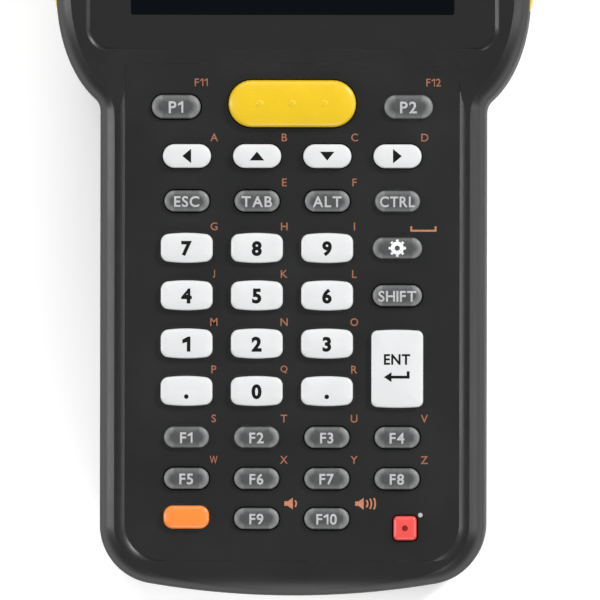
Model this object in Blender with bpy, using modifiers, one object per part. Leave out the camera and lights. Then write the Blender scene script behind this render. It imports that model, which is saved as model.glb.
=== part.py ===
"""A rugged handheld data terminal: a display head over a keypad grip, with a scan engine and a rear battery.

It lies on its back. +X is its right side, +Y runs from the end of the grip to the end of the head, and +Z
is its front face. The origin is under the middle of its outline, on the surface that it rests on.
Lengths are in metres.
"""

import math

import bmesh
import bpy
from mathutils import Matrix

MM = 0.001
GAP = 0.3 * MM

# The body in plan
LENGTH = 202 * MM
GRIP_WIDTH = 61.8 * MM
HEAD_WIDTH = 76 * MM
END_RADIUS = 137 * MM
END_CORNER = 9.5 * MM
TOP_RADIUS = 220 * MM
TOP_CORNER = 12 * MM
FLARE_START = -4.3 * MM
FLARE_DEPTH = 12 * MM
FLARE_LENGTH = 19.5 * MM

# The body in height
BACK_Z = 0.0
PARTING_Z = 17 * MM
RIM_Z = 33 * MM
PARTING_GAP = 1.2 * MM
WALL = 2.2 * MM
FRONT_ROUNDING = 3.4 * MM
BACK_ROUNDING = 3 * MM

# The keypad module
KEYPAD_WIDTH = 53.6 * MM
KEYPAD_LOW_Y = -95.4 * MM
KEYPAD_HIGH_Y = -15.8 * MM
KEYPAD_CORNER = 6 * MM
BEZEL_TOP_Z = 32.5 * MM
BEZEL_THICKNESS = 1.4 * MM
MEMBRANE_TOP_Z = 28.3 * MM
MEMBRANE_THICKNESS = 1.6 * MM
SWITCH_BOARD_THICKNESS = 1 * MM
KEY_TRAVEL = 0.7 * MM
KEY_BOTTOM_Z = MEMBRANE_TOP_Z + KEY_TRAVEL + GAP
COLUMN_PITCH = 11.24 * MM

# The display
GLASS_WIDTH = 64.8 * MM
GLASS_LOW_Y = -13.4 * MM
GLASS_HIGH_Y = 88 * MM
GLASS_CORNER = 3.5 * MM
GLASS_TOP_Z = 32.5 * MM
GLASS_THICKNESS = 1.2 * MM
MODULE_WIDTH = 56.8 * MM
MODULE_LOW_Y = -10.2 * MM
MODULE_HIGH_Y = 81.4 * MM
MODULE_THICKNESS = 3.2 * MM

# The battery, its bay, and the latch above it
BATTERY_WIDTH = 53.8 * MM
BATTERY_LENGTH = 70.8 * MM
BATTERY_PIVOT_Y = -94.8 * MM
BATTERY_BACK_Z = 0.4 * MM
BATTERY_THICKNESS = 12.4 * MM
BATTERY_DRAFT = 1.2 * MM
BAY_GAP = 0.4 * MM
BAY_ROOF = 2 * MM
LATCH_SIZE = (16 * MM, 5 * MM, 2.9 * MM)
LATCH_Z = 0.8 * MM
LATCH_Y = -20.3 * MM
LATCH_TRAVEL = 2 * MM
LATCH_FOOT_SIZE = (19 * MM, 5 * MM, 1.6 * MM)

# The finger saddle across the back
SADDLE_RADIUS = 40 * MM
SADDLE_DEPTH = 5.5 * MM
SADDLE_Y = 2 * MM

# Side scan keys
SIDE_KEY_SIZE = (36.6 * MM, 6.4 * MM)
SIDE_KEY_Y = 10.9 * MM
SIDE_KEY_Z = 23.8 * MM
SIDE_KEY_PROUD = 1.3 * MM
SIDE_KEY_ARCH = 1.15 * MM
SIDE_KEY_DEPTH = 4.6 * MM
SIDE_KEY_EDGE = 0.8 * MM

# Screws, as (x, y) with the depth of each seat
SCREW_SEATS = {
    "housing_screw_1": (-31 * MM, 89 * MM, 3.2 * MM),
    "housing_screw_2": (31 * MM, 89 * MM, 3.2 * MM),
    "housing_screw_3": (-31.5 * MM, -13.5 * MM, 6 * MM),
    "housing_screw_4": (31.5 * MM, -13.5 * MM, 6 * MM),
}
SCREW_HEAD_RADIUS = 2.5 * MM
SCREW_HEAD_HEIGHT = 1.8 * MM
SCREW_SHAFT_RADIUS = 1.25 * MM
SCREW_LENGTH = 16 * MM
BOSS_RADIUS = 3.4 * MM

# The scan window, in the head's end wall
SCAN_WINDOW_SIZE = (40 * MM, 9 * MM)
SCAN_WINDOW_Z = 8.5 * MM
SCAN_WINDOW_Y = 99 * MM

# Inside: the scan engine, the main board on its posts as (x, y, height of the floor there), and the speaker
ENGINE_SIZE = (26 * MM, 15 * MM, 10 * MM)
ENGINE_Y = 85 * MM
BOARD_TOP_Z = 19.2 * MM
BOARD_THICKNESS = 1.2 * MM
BOARD_POSTS = [
    (-22 * MM, 60 * MM, WALL),
    (22 * MM, 60 * MM, WALL),
    (-22 * MM, -60 * MM, 15.2 * MM),
    (22 * MM, -60 * MM, 15.2 * MM),
]
SPEAKER_Y = 93.4 * MM
SPEAKER_Z = 28.3 * MM
LIGHT_X = 20 * MM

# The docking connector, in the grip's end wall
DOCK_SIZE = (22 * MM, 5 * MM)
DOCK_Z = 6.5 * MM
DOCK_CONTACTS = 8

# Colours, as (red, green, blue), roughness and metallic value
BLACK_PLASTIC = ((0.028, 0.028, 0.029), 0.55, 0.0)
BEZEL_PLASTIC = ((0.024, 0.025, 0.026), 0.6, 0.0)
BLACK_RUBBER = ((0.02, 0.02, 0.02), 0.8, 0.0)
WHITE_KEY = ((0.86, 0.86, 0.86), 0.4, 0.0)
GREY_KEY = ((0.11, 0.115, 0.12), 0.35, 0.0)
YELLOW_KEY = ((0.92, 0.62, 0.02), 0.4, 0.0)
ORANGE_KEY = ((0.95, 0.3, 0.04), 0.4, 0.0)
RED_KEY = ((0.8, 0.07, 0.06), 0.4, 0.0)
SILICONE = ((0.25, 0.26, 0.27), 0.7, 0.0)
BOARD_GREEN = ((0.02, 0.12, 0.05), 0.45, 0.0)
SCREEN = ((0.005, 0.006, 0.009), 0.15, 0.0)
GLASS = ((0.01, 0.011, 0.013), 0.06, 0.0)
SCAN_GLASS = ((0.12, 0.01, 0.012), 0.08, 0.0)
STEEL = ((0.55, 0.56, 0.58), 0.35, 1.0)
LIGHT_PIPE = ((0.7, 0.75, 0.72), 0.3, 0.0)

# Key caps: outline (width, height, corner radius, bow of the long edges), height over the bezel, colour
KEY_SHAPES = {
    "scan": ((20.4 * MM, 7.5 * MM, 3.75 * MM, 0), 1.6 * MM, YELLOW_KEY),
    "program": ((7.8 * MM, 3.8 * MM, 1.9 * MM, 0), 1 * MM, GREY_KEY),
    "arrow": ((7.7 * MM, 3.8 * MM, 1.9 * MM, 0), 1.2 * MM, WHITE_KEY),
    "small": ((7.2 * MM, 3.4 * MM, 1.7 * MM, 0), 1 * MM, GREY_KEY),
    "wide": ((7.9 * MM, 3.4 * MM, 1.7 * MM, 0), 1 * MM, GREY_KEY),
    "digit": ((8.3 * MM, 4.8 * MM, 1.1 * MM, 0.35 * MM), 1.2 * MM, WHITE_KEY),
    "enter": ((8.3 * MM, 12.5 * MM, 0.9 * MM, 0.12 * MM), 1.2 * MM, WHITE_KEY),
    "modifier": ((7.3 * MM, 3.7 * MM, 1.5 * MM, 0), 1.2 * MM, ORANGE_KEY),
    "power": ((3.7 * MM, 3.9 * MM, 0.7 * MM, 0), 0.9 * MM, RED_KEY),
}

# Each row: its y, then its keys as (name, columns from the middle, shape)
KEY_ROWS = [
    (-22.7 * MM, [("p1", -1.655, "program"), ("p2", 1.655, "program")]),
    (-22.2 * MM, [("scan", 0, "scan")]),
    (-30.6 * MM, [("left", -1.5, "arrow"), ("up", -0.5, "arrow")]),
    (-30.6 * MM, [("down", 0.5, "arrow"), ("right", 1.5, "arrow")]),
    (-37.8 * MM, [("esc", -1.5, "small"), ("tab", -0.5, "small")]),
    (-37.8 * MM, [("alt", 0.5, "small"), ("ctrl", 1.5, "small")]),
    (-45.3 * MM, [("7", -1.5, "digit"), ("8", -0.5, "digit"), ("9", 0.5, "digit")]),
    (-45.3 * MM, [("backlight", 1.5, "wide")]),
    (-52.9 * MM, [("4", -1.5, "digit"), ("5", -0.5, "digit"), ("6", 0.5, "digit"), ("shift", 1.5, "wide")]),
    (-60.6 * MM, [("1", -1.5, "digit"), ("2", -0.5, "digit"), ("3", 0.5, "digit")]),
    (-64.6 * MM, [("enter", 1.5, "enter")]),
    (-68.2 * MM, [("comma", -1.5, "digit"), ("0", -0.5, "digit"), ("point", 0.5, "digit")]),
    (-75.6 * MM, [("f1", -1.5, "small"), ("f2", -0.5, "small"), ("f3", 0.5, "small"), ("f4", 1.5, "small")]),
    (-82.2 * MM, [("f5", -1.5, "small"), ("f6", -0.5, "small"), ("f7", 0.5, "small"), ("f8", 1.5, "small")]),
    (-88.4 * MM, [("modifier", -1.5, "modifier")]),
    (-88.6 * MM, [("f9", -0.5, "small"), ("f10", 0.5, "small")]),
    (-90.1 * MM, [("power", 1.615, "power")]),
]
KEY_HOLE_GAP = 0.3 * MM
KEY_EDGE = 0.3 * MM


# ---------------------------------------------------------------- outlines


def arc(centre, radius, start, end, steps):
    """Points on an arc, its angles in degrees, with both ends."""
    angles = [math.radians(start + (end - start) * i / steps) for i in range(steps + 1)]
    return [(centre[0] + radius * math.cos(a), centre[1] + radius * math.sin(a)) for a in angles]


def rounded_rectangle(width, low_y, high_y, low_radius, high_radius, steps=3):
    """A rectangle about the Y axis whose lower and upper corners have their own radii."""
    x = width / 2
    corners = [
        ((x - low_radius, low_y + low_radius), low_radius, -90),
        ((x - high_radius, high_y - high_radius), high_radius, 0),
        ((high_radius - x, high_y - high_radius), high_radius, 90),
        ((low_radius - x, low_y + low_radius), low_radius, 180),
    ]
    points = []
    for centre, radius, start in corners:
        for point in arc(centre, radius, start, start + 90, steps):
            if not points or math.dist(point, points[-1]) > 0.001 * MM:
                points.append(point)
    if math.dist(points[0], points[-1]) < 0.001 * MM:
        points.pop()
    return points


def key_outline(width, height, radius, bow, grow=0.0):
    """A rounded rectangle about the origin, its long edges bowed outwards, grown outwards all round."""
    half = height / 2 - bow
    points = rounded_rectangle(width, -half, half, radius, radius)
    if bow:
        inner = width / 5
        points[8:8] = [(inner, half), (-inner, half)]
        points += [(-inner, -half), (inner, -half)]
        points = [(x, y + math.copysign(bow * (1 - (2 * x / width) ** 2), y)) for x, y in points]
    return inset(points, -grow) if grow else points


def inset(points, distance):
    """A closed outline moved inwards along its own normals, with mitred corners."""
    moved = []
    for i, (x, y) in enumerate(points):
        before = points[i - 1]
        after = points[(i + 1) % len(points)]
        normals = []
        for (ax, ay), (bx, by) in ((before, (x, y)), ((x, y), after)):
            length = math.hypot(bx - ax, by - ay)
            normals.append(((ay - by) / length, (bx - ax) / length))
        nx = normals[0][0] + normals[1][0]
        ny = normals[0][1] + normals[1][1]
        scale = distance * 2 / (nx * nx + ny * ny)
        moved.append((x + nx * scale, y + ny * scale))
    return moved


def body_outline():
    """The body in plan, counterclockwise from the middle of the grip's end: a convex end, straight grip
    sides, a short neck fillet, elliptical shoulders, straight head sides and a convex top."""
    half_grip = GRIP_WIDTH / 2
    half_head = HEAD_WIDTH / 2
    end_centre_y = END_RADIUS - LENGTH / 2
    corner_x = half_grip - END_CORNER
    corner_y = end_centre_y - math.sqrt((END_RADIUS - END_CORNER) ** 2 - corner_x**2)
    end_angle = math.degrees(math.asin(corner_x / (END_RADIUS - END_CORNER)))
    right = arc((0, end_centre_y), END_RADIUS, -90, end_angle - 90, 2)[:-1]
    right += arc((corner_x, corner_y), END_CORNER, end_angle - 90, 0, 5)

    narrowing = math.acos(1 - (half_head - half_grip) / FLARE_DEPTH)
    neck_y = FLARE_START - FLARE_LENGTH * math.sin(narrowing)
    neck_fillet = 1.3 * MM
    right.append((half_grip, neck_y - neck_fillet))
    flare_steps = 6
    for i in range(flare_steps + 1):
        angle = narrowing * (0.94 - 0.94 * i / flare_steps)
        x = half_head - FLARE_DEPTH * (1 - math.cos(angle))
        right.append((x, FLARE_START - FLARE_LENGTH * math.sin(angle)))

    top_centre_y = LENGTH / 2 - TOP_RADIUS
    top_x = half_head - TOP_CORNER
    top_y = top_centre_y + math.sqrt((TOP_RADIUS - TOP_CORNER) ** 2 - top_x**2)
    top_angle = 90 - math.degrees(math.asin(top_x / (TOP_RADIUS - TOP_CORNER)))
    right += arc((top_x, top_y), TOP_CORNER, 0, top_angle, 5)
    right += arc((0, top_centre_y), TOP_RADIUS, top_angle, 90, 2)[1:]
    left = [(-x, y) for x, y in reversed(right[1:-1])]
    return right + left


# ---------------------------------------------------------------- modelling tools


def new_collection(name):
    collection = bpy.data.collections.new(name)
    bpy.context.scene.collection.children.link(collection)
    return collection


def material(name, finish):
    colour, roughness, metallic = finish
    made = bpy.data.materials.get(name) or bpy.data.materials.new(name)
    made.use_nodes = True
    shader = made.node_tree.nodes["Principled BSDF"]
    shader.inputs["Base Color"].default_value = (*colour, 1)
    shader.inputs["Roughness"].default_value = roughness
    shader.inputs["Metallic"].default_value = metallic
    return made


def object_of(name, bm, collection):
    """A mesh object of a bmesh, its faces turned outwards, its facets flat and its curved runs smooth."""
    bmesh.ops.recalc_face_normals(bm, faces=bm.faces)
    if bm.calc_volume(signed=True) < 0:
        bmesh.ops.reverse_faces(bm, faces=bm.faces)
    mesh = bpy.data.meshes.new(name)
    bm.to_mesh(mesh)
    bm.free()
    mesh.shade_smooth()
    mesh.set_sharp_from_angle(angle=math.radians(35))
    made = bpy.data.objects.new(name, mesh)
    collection.objects.link(made)
    return made


def slab(name, outlines, low, high, collection):
    """A flat plate between two heights. The first outline is its edge, and the others are holes in it."""
    curve = bpy.data.curves.new(name, "CURVE")
    curve.dimensions = "2D"
    curve.fill_mode = "BOTH"
    curve.extrude = (high - low) / 2
    for outline in outlines:
        spline = curve.splines.new("POLY")
        spline.points.add(len(outline) - 1)
        for point, (x, y) in zip(spline.points, outline):
            point.co = (x, y, 0, 1)
        spline.use_cyclic_u = True
    guide = bpy.data.objects.new(name + "_outline", curve)
    collection.objects.link(guide)
    graph = bpy.context.evaluated_depsgraph_get()
    filled = bpy.data.meshes.new_from_object(guide.evaluated_get(graph))
    bm = bmesh.new()
    bm.from_mesh(filled)
    bmesh.ops.translate(bm, verts=bm.verts, vec=(0, 0, (low + high) / 2))
    bmesh.ops.remove_doubles(bm, verts=bm.verts, dist=0.001 * MM)
    if len(outlines) == 1:
        bmesh.ops.dissolve_limit(bm, angle_limit=math.radians(0.1), verts=bm.verts, edges=bm.edges)
    bpy.data.objects.remove(guide)
    bpy.data.curves.remove(curve)
    bpy.data.meshes.remove(filled)
    return object_of(name, bm, collection)


def round_rim(piece, height, width, segments):
    """Bevels the edge of a slab's face at that height."""
    bm = bmesh.new()
    bm.from_mesh(piece.data)
    tolerance = 0.01 * MM
    rim = [
        edge
        for edge in bm.edges
        if all(abs(vertex.co.z - height) < tolerance for vertex in edge.verts)
        and any(abs(face.normal.z) < 0.9 for face in edge.link_faces)
    ]
    bmesh.ops.bevel(bm, geom=rim, offset=width, segments=segments, profile=0.5, affect="EDGES")
    bmesh.ops.recalc_face_normals(bm, faces=bm.faces)
    bm.to_mesh(piece.data)
    bm.free()
    piece.data.set_sharp_from_angle(angle=math.radians(35))
    return piece


def arch_face(piece, low_z, half_length, fall, strips):
    """Bends the part of a slab over low_z into a long low arch, which falls towards both ends."""
    bm = bmesh.new()
    bm.from_mesh(piece.data)
    for i in range(1, strips):
        geometry = bm.verts[:] + bm.edges[:] + bm.faces[:]
        place = (half_length * (2 * i / strips - 1), 0, 0)
        bmesh.ops.bisect_plane(bm, geom=geometry, plane_co=place, plane_no=(1, 0, 0))
    for vertex in bm.verts:
        if vertex.co.z > low_z:
            vertex.co.z -= fall * (vertex.co.x / half_length) ** 2
    bmesh.ops.triangulate(bm, faces=[face for face in bm.faces if len(face.verts) > 4])
    bm.to_mesh(piece.data)
    bm.free()
    return piece


def block(name, size, centre, collection):
    """A box by its size and centre."""
    bm = bmesh.new()
    bmesh.ops.create_cube(bm, size=1)
    bmesh.ops.scale(bm, verts=bm.verts, vec=size)
    bmesh.ops.translate(bm, verts=bm.verts, vec=centre)
    return object_of(name, bm, collection)


def cylinder(name, radius, low, high, x, y, collection, sides=16):
    """An upright cylinder between two heights."""
    bm = bmesh.new()
    place = Matrix.Translation((x, y, (low + high) / 2))
    bmesh.ops.create_cone(
        bm, cap_ends=True, segments=sides, radius1=radius, radius2=radius, depth=high - low, matrix=place
    )
    return object_of(name, bm, collection)


def combine(target, tool, operation):
    modifier = target.modifiers.new(tool.name, "BOOLEAN")
    modifier.operation = operation
    modifier.object = tool
    tool.hide_render = True
    tool.display_type = "WIRE"


def cut(target, *tools):
    for tool in tools:
        combine(target, tool, "DIFFERENCE")


def join(target, *tools):
    for tool in tools:
        combine(target, tool, "UNION")


def finish(piece, look, name):
    """Gives a piece its material, and makes it a child of the terminal's empty."""
    piece.data.materials.clear()
    piece.data.materials.append(material(name, look))
    piece.parent = TERMINAL
    return piece


# ---------------------------------------------------------------- housings


def keypad_module_outline():
    return rounded_rectangle(KEYPAD_WIDTH, KEYPAD_LOW_Y, KEYPAD_HIGH_Y, KEYPAD_CORNER, 2 * MM)


def glass_outline():
    return rounded_rectangle(GLASS_WIDTH, GLASS_LOW_Y, GLASS_HIGH_Y, GLASS_CORNER, GLASS_CORNER)


def grip_cavity_outline():
    return rounded_rectangle(GRIP_WIDTH - 2 * WALL, WALL + 1.6 * MM - LENGTH / 2, 0, 8 * MM, 2 * MM)


def head_cavity_outline(low_y, low_radius):
    return rounded_rectangle(HEAD_WIDTH - 2 * WALL, low_y, LENGTH / 2 - WALL - 0.4 * MM, low_radius, 10 * MM)


def side_opening(side):
    """The hole in a head wall for a side key."""
    size = (10 * MM, SIDE_KEY_SIZE[0] + 2 * GAP, SIDE_KEY_SIZE[1] + 2 * GAP)
    centre = (side * HEAD_WIDTH / 2, SIDE_KEY_Y, SIDE_KEY_Z)
    return block(f"side_opening_{'right' if side > 0 else 'left'}", size, centre, CUTTERS)


def make_front_housing():
    low = PARTING_Z + PARTING_GAP / 2
    housing = slab("front_housing", [body_outline()], low, RIM_Z, PARTS)
    round_rim(housing, RIM_Z, FRONT_ROUNDING, 3)
    pocket_floor_z = MEMBRANE_TOP_Z - MEMBRANE_THICKNESS - SWITCH_BOARD_THICKNESS - 2 * GAP
    floor_thickness = 1.2 * MM
    head_roof_z = RIM_Z - 3 * MM
    glass_seat_z = GLASS_TOP_Z - GLASS_THICKNESS - GAP
    over = RIM_Z + 2 * MM
    under = low - 3 * MM
    cut(
        housing,
        slab("front_grip_cavity", [grip_cavity_outline()], under, pocket_floor_z - floor_thickness, CUTTERS),
        slab("front_head_cavity", [head_cavity_outline(-13.8 * MM, 10 * MM)], under, head_roof_z, CUTTERS),
        slab("keypad_pocket", [keypad_module_outline()], pocket_floor_z, over, CUTTERS),
        slab("glass_recess", [inset(glass_outline(), -GAP)], glass_seat_z, over, CUTTERS),
        slab("display_opening", [display_module_outline(-GAP)], head_roof_z - 1 * MM, over, CUTTERS),
        side_opening(-1),
        side_opening(1),
    )
    slot_count = 5
    for i in range(slot_count):
        x = (i - (slot_count - 1) / 2) * 3 * MM
        centre = (x, SPEAKER_Y, RIM_Z)
        cut(housing, block(f"speaker_slot_{i + 1}", (1.2 * MM, 4 * MM, 12 * MM), centre, CUTTERS))
    light_hole = cylinder("light_hole", 1.5 * MM, RIM_Z - 8 * MM, over, LIGHT_X, SPEAKER_Y, CUTTERS, 12)
    cut(housing, light_hole)
    for name, (x, y, _) in SCREW_SEATS.items():
        join(housing, cylinder(name + "_boss", BOSS_RADIUS, low, head_roof_z + 0.5 * MM, x, y, CUTTERS))
    for name, (x, y, _) in SCREW_SEATS.items():
        pilot = cylinder(name + "_pilot", SCREW_SHAFT_RADIUS + GAP, under, 24 * MM, x, y, CUTTERS)
        cut(housing, pilot)
    return finish(housing, BLACK_PLASTIC, "front_plastic")


def make_rear_housing():
    high = PARTING_Z - PARTING_GAP / 2
    housing = slab("rear_housing", [body_outline()], BACK_Z, high, PARTS)
    round_rim(housing, BACK_Z, BACK_ROUNDING, 3)
    over = high + 3 * MM
    under = BACK_Z - 3 * MM
    bay_roof_z = BATTERY_BACK_Z + BATTERY_THICKNESS + BAY_GAP
    saddle_floor_z = SADDLE_DEPTH + 2.7 * MM
    deep_y = SADDLE_Y + 22.5 * MM
    cut(
        housing,
        slab("rear_grip_cavity", [grip_cavity_outline()], bay_roof_z + BAY_ROOF, over, CUTTERS),
        slab("rear_head_cavity", [head_cavity_outline(-13.8 * MM, 10 * MM)], saddle_floor_z, over, CUTTERS),
        slab("rear_deep_cavity", [head_cavity_outline(deep_y, 3 * MM)], WALL, over, CUTTERS),
        slab("battery_bay", [battery_outline(BAY_GAP, 0)], under, bay_roof_z, CUTTERS),
    )
    saddle = cylinder("saddle", SADDLE_RADIUS, -HEAD_WIDTH, HEAD_WIDTH, 0, 0, CUTTERS, 64)
    saddle.rotation_euler = (0, math.radians(90), 0)
    saddle.location = (0, SADDLE_Y, SADDLE_DEPTH - SADDLE_RADIUS)
    latch_top_z = LATCH_Z + LATCH_SIZE[2]
    foot_low_z = latch_top_z - LATCH_FOOT_SIZE[2]
    slot_low = BATTERY_PIVOT_Y + BATTERY_LENGTH - 1 * MM
    slot_high = LATCH_Y + LATCH_SIZE[1] / 2 + LATCH_TRAVEL + GAP
    slot_length = slot_high - slot_low
    slot_y = (slot_high + slot_low) / 2
    latch_slot = block(
        "latch_slot", (LATCH_SIZE[0] + 2 * GAP, slot_length, 2 * (latch_top_z + GAP)), (0, slot_y, 0), CUTTERS
    )
    foot_slot = block(
        "latch_foot_slot",
        (LATCH_FOOT_SIZE[0] + 2 * GAP, slot_length, LATCH_FOOT_SIZE[2] + 2 * GAP),
        (0, slot_y, (foot_low_z + latch_top_z) / 2),
        CUTTERS,
    )
    window_width, window_height = SCAN_WINDOW_SIZE
    window_hole = block(
        "scan_window_hole",
        (window_width + 2 * GAP, 8 * MM, window_height + 2 * GAP),
        (0, LENGTH / 2, SCAN_WINDOW_Z),
        CUTTERS,
    )
    dock_width, dock_height = DOCK_SIZE
    dock_hole = block(
        "dock_hole",
        (dock_width + 2 * GAP, 8.4 * MM, dock_height + 2 * GAP),
        (0, -LENGTH / 2, DOCK_Z),
        CUTTERS,
    )
    cut(housing, saddle, latch_slot, foot_slot, window_hole, dock_hole)
    board_low_z = BOARD_TOP_Z - BOARD_THICKNESS
    for i, (x, y, floor_z) in enumerate(BOARD_POSTS):
        low = floor_z - 0.5 * MM
        post = cylinder(f"board_post_{i + 1}", 2 * MM, low, board_low_z - GAP, x, y, CUTTERS, 8)
        join(housing, post)
    pedestal_top = SCAN_WINDOW_Z - ENGINE_SIZE[2] / 2 - GAP
    pedestal_low = WALL - 0.5 * MM
    pedestal_size = (20 * MM, 9 * MM, pedestal_top - pedestal_low)
    join(housing, block("pedestal", pedestal_size, (0, ENGINE_Y, (pedestal_top + pedestal_low) / 2), CUTTERS))
    for name, (x, y, seat_z) in SCREW_SEATS.items():
        low = seat_z - SCREW_HEAD_HEIGHT
        post = cylinder(name + "_post", BOSS_RADIUS + 0.2 * MM, low, high, x, y, CUTTERS)
        join(housing, post)
    for name, (x, y, seat_z) in SCREW_SEATS.items():
        head_hole = cylinder(name + "_head_hole", SCREW_HEAD_RADIUS + GAP, under, seat_z, x, y, CUTTERS)
        shaft_hole = cylinder(name + "_shaft_hole", SCREW_SHAFT_RADIUS + GAP, under, over, x, y, CUTTERS)
        cut(housing, head_hole, shaft_hole)
    return finish(housing, BLACK_PLASTIC, "rear_plastic")


def make_housing_seal():
    low = PARTING_Z - PARTING_GAP / 2 + GAP
    high = PARTING_Z + PARTING_GAP / 2 - GAP
    outlines = [inset(body_outline(), 0.6 * MM), inset(body_outline(), 1.7 * MM)]
    return finish(slab("housing_seal", outlines, low, high, PARTS), BLACK_RUBBER, "seal_rubber")


# ---------------------------------------------------------------- keypad


def make_keypad_bezel():
    """A shallow tray, upside down: a plate with a hole for each key, and a skirt that meets the membrane."""
    outer = inset(keypad_module_outline(), GAP)
    plate_low = BEZEL_TOP_Z - BEZEL_THICKNESS
    skirt_low = MEMBRANE_TOP_Z + GAP
    holes = []
    for _, x, y, shape in keys():
        outline, _, _ = KEY_SHAPES[shape]
        holes.append([(x + dx, y + dy) for dx, dy in key_outline(*outline, grow=KEY_HOLE_GAP)])
    bezel = slab("keypad_bezel", [outer], skirt_low, BEZEL_TOP_Z, PARTS)
    cut(
        bezel,
        slab("bezel_hollow", [inset(outer, 1.1 * MM)], skirt_low - 1 * MM, plate_low, CUTTERS),
        slab("key_holes", holes, plate_low - 1 * MM, BEZEL_TOP_Z + 1 * MM, CUTTERS),
    )
    return finish(bezel, BEZEL_PLASTIC, "bezel_plastic")


def make_keypad_layers():
    outline = inset(keypad_module_outline(), GAP)
    membrane_low = MEMBRANE_TOP_Z - MEMBRANE_THICKNESS
    membrane = slab("keypad_membrane", [outline], membrane_low, MEMBRANE_TOP_Z, PARTS)
    board_top = membrane_low - GAP
    board = slab("keypad_board", [outline], board_top - SWITCH_BOARD_THICKNESS, board_top, PARTS)
    return finish(membrane, SILICONE, "silicone"), finish(board, BOARD_GREEN, "circuit_board")


def keys():
    """Every key as (name, x, y, shape)."""
    return [(name, column * COLUMN_PITCH, y, shape) for y, row in KEY_ROWS for name, column, shape in row]


def make_keys():
    """A cap for each key, its origin on the bezel's face, so that it slides along its own Z. Caps of a shape
    share a mesh."""
    meshes = {}
    for name, x, y, shape in keys():
        outline, height, look = KEY_SHAPES[shape]
        if shape not in meshes:
            cap = slab("key_" + name, [key_outline(*outline)], KEY_BOTTOM_Z - BEZEL_TOP_Z, height, PARTS)
            round_rim(cap, height, KEY_EDGE, 1)
            finish(cap, look, shape + "_key_plastic")
            meshes[shape] = cap.data
        else:
            cap = bpy.data.objects.new("key_" + name, meshes[shape])
            PARTS.objects.link(cap)
            cap.parent = TERMINAL
        cap.location = (x, y, BEZEL_TOP_Z)


def make_side_key(name, side):
    """A long scan key in a wall of the head. It slides along its own Z, which points out of that wall."""
    length, height = SIDE_KEY_SIZE
    outline = key_outline(length, height, 2.4 * MM, 0)
    cap = slab(name, [outline], SIDE_KEY_PROUD - SIDE_KEY_DEPTH, SIDE_KEY_PROUD, PARTS)
    round_rim(cap, SIDE_KEY_PROUD, SIDE_KEY_EDGE, 2)
    arch_face(cap, SIDE_KEY_PROUD - 1.1 * SIDE_KEY_EDGE, length / 2, SIDE_KEY_ARCH, 12)
    cap.rotation_euler = (math.radians(90), 0, math.radians(90 * side))
    cap.location = (side * HEAD_WIDTH / 2, SIDE_KEY_Y, SIDE_KEY_Z)
    return finish(cap, YELLOW_KEY, "side_key_plastic")


# ---------------------------------------------------------------- display


def display_module_outline(shrink):
    outline = rounded_rectangle(MODULE_WIDTH, MODULE_LOW_Y, MODULE_HIGH_Y, 1.5 * MM, 1.5 * MM, 2)
    return inset(outline, shrink)


def make_display():
    glass_low = GLASS_TOP_Z - GLASS_THICKNESS
    glass = slab("display_window", [glass_outline()], glass_low, GLASS_TOP_Z, PARTS)
    round_rim(glass, GLASS_TOP_Z, 0.3 * MM, 1)
    module_top = glass_low - GAP
    module_low = module_top - MODULE_THICKNESS
    module = slab("display_module", [display_module_outline(0)], module_low, module_top, PARTS)
    return finish(glass, GLASS, "touch_glass"), finish(module, SCREEN, "screen")


# ---------------------------------------------------------------- battery and latch


def battery_outline(grow, origin_y):
    low = BATTERY_PIVOT_Y - origin_y - grow
    high = BATTERY_PIVOT_Y - origin_y + BATTERY_LENGTH + grow
    radius = 3 * MM + grow
    return rounded_rectangle(BATTERY_WIDTH + 2 * grow, low, high, radius, radius)


def make_battery():
    """The pack turns about the lower edge of its back, where its origin is. Its upper end leans in as it goes
    deeper, so that it clears the bay as it swings out."""
    pack = slab("battery_pack", [battery_outline(0, BATTERY_PIVOT_Y)], 0, BATTERY_THICKNESS, PARTS)
    round_rim(pack, 0, 1 * MM, 2)
    for vertex in pack.data.vertices:
        upper_end = max(0.0, vertex.co.y / BATTERY_LENGTH)
        vertex.co.y -= BATTERY_DRAFT * upper_end * vertex.co.z / BATTERY_THICKNESS
    pack.location = (0, BATTERY_PIVOT_Y, BATTERY_BACK_Z)
    return finish(pack, BLACK_PLASTIC, "battery_plastic")


def make_battery_latch():
    """A slider between the battery and the saddle: a thumb piece with three ridges, on a wider foot that runs
    in grooves."""
    width, _, height = LATCH_SIZE
    latch = block("battery_latch", LATCH_SIZE, (0, 0, height / 2), PARTS)
    latch.location = (0, LATCH_Y, LATCH_Z)
    foot_z = LATCH_Z + height - LATCH_FOOT_SIZE[2] / 2
    foot_size = (LATCH_FOOT_SIZE[0], LATCH_FOOT_SIZE[1] - 0.2 * MM, LATCH_FOOT_SIZE[2] - 0.2 * MM)
    foot = block("latch_foot", foot_size, (0, LATCH_Y, foot_z), CUTTERS)
    join(latch, foot)
    for i in (-1, 0, 1):
        centre = (0, LATCH_Y + i * 1.5 * MM, LATCH_Z)
        join(latch, block(f"latch_ridge_{i + 2}", (width * 0.7, 0.6 * MM, 1 * MM), centre, CUTTERS))
    return finish(latch, GREY_KEY, "latch_plastic")


# ---------------------------------------------------------------- inside the head, and the ports


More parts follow.
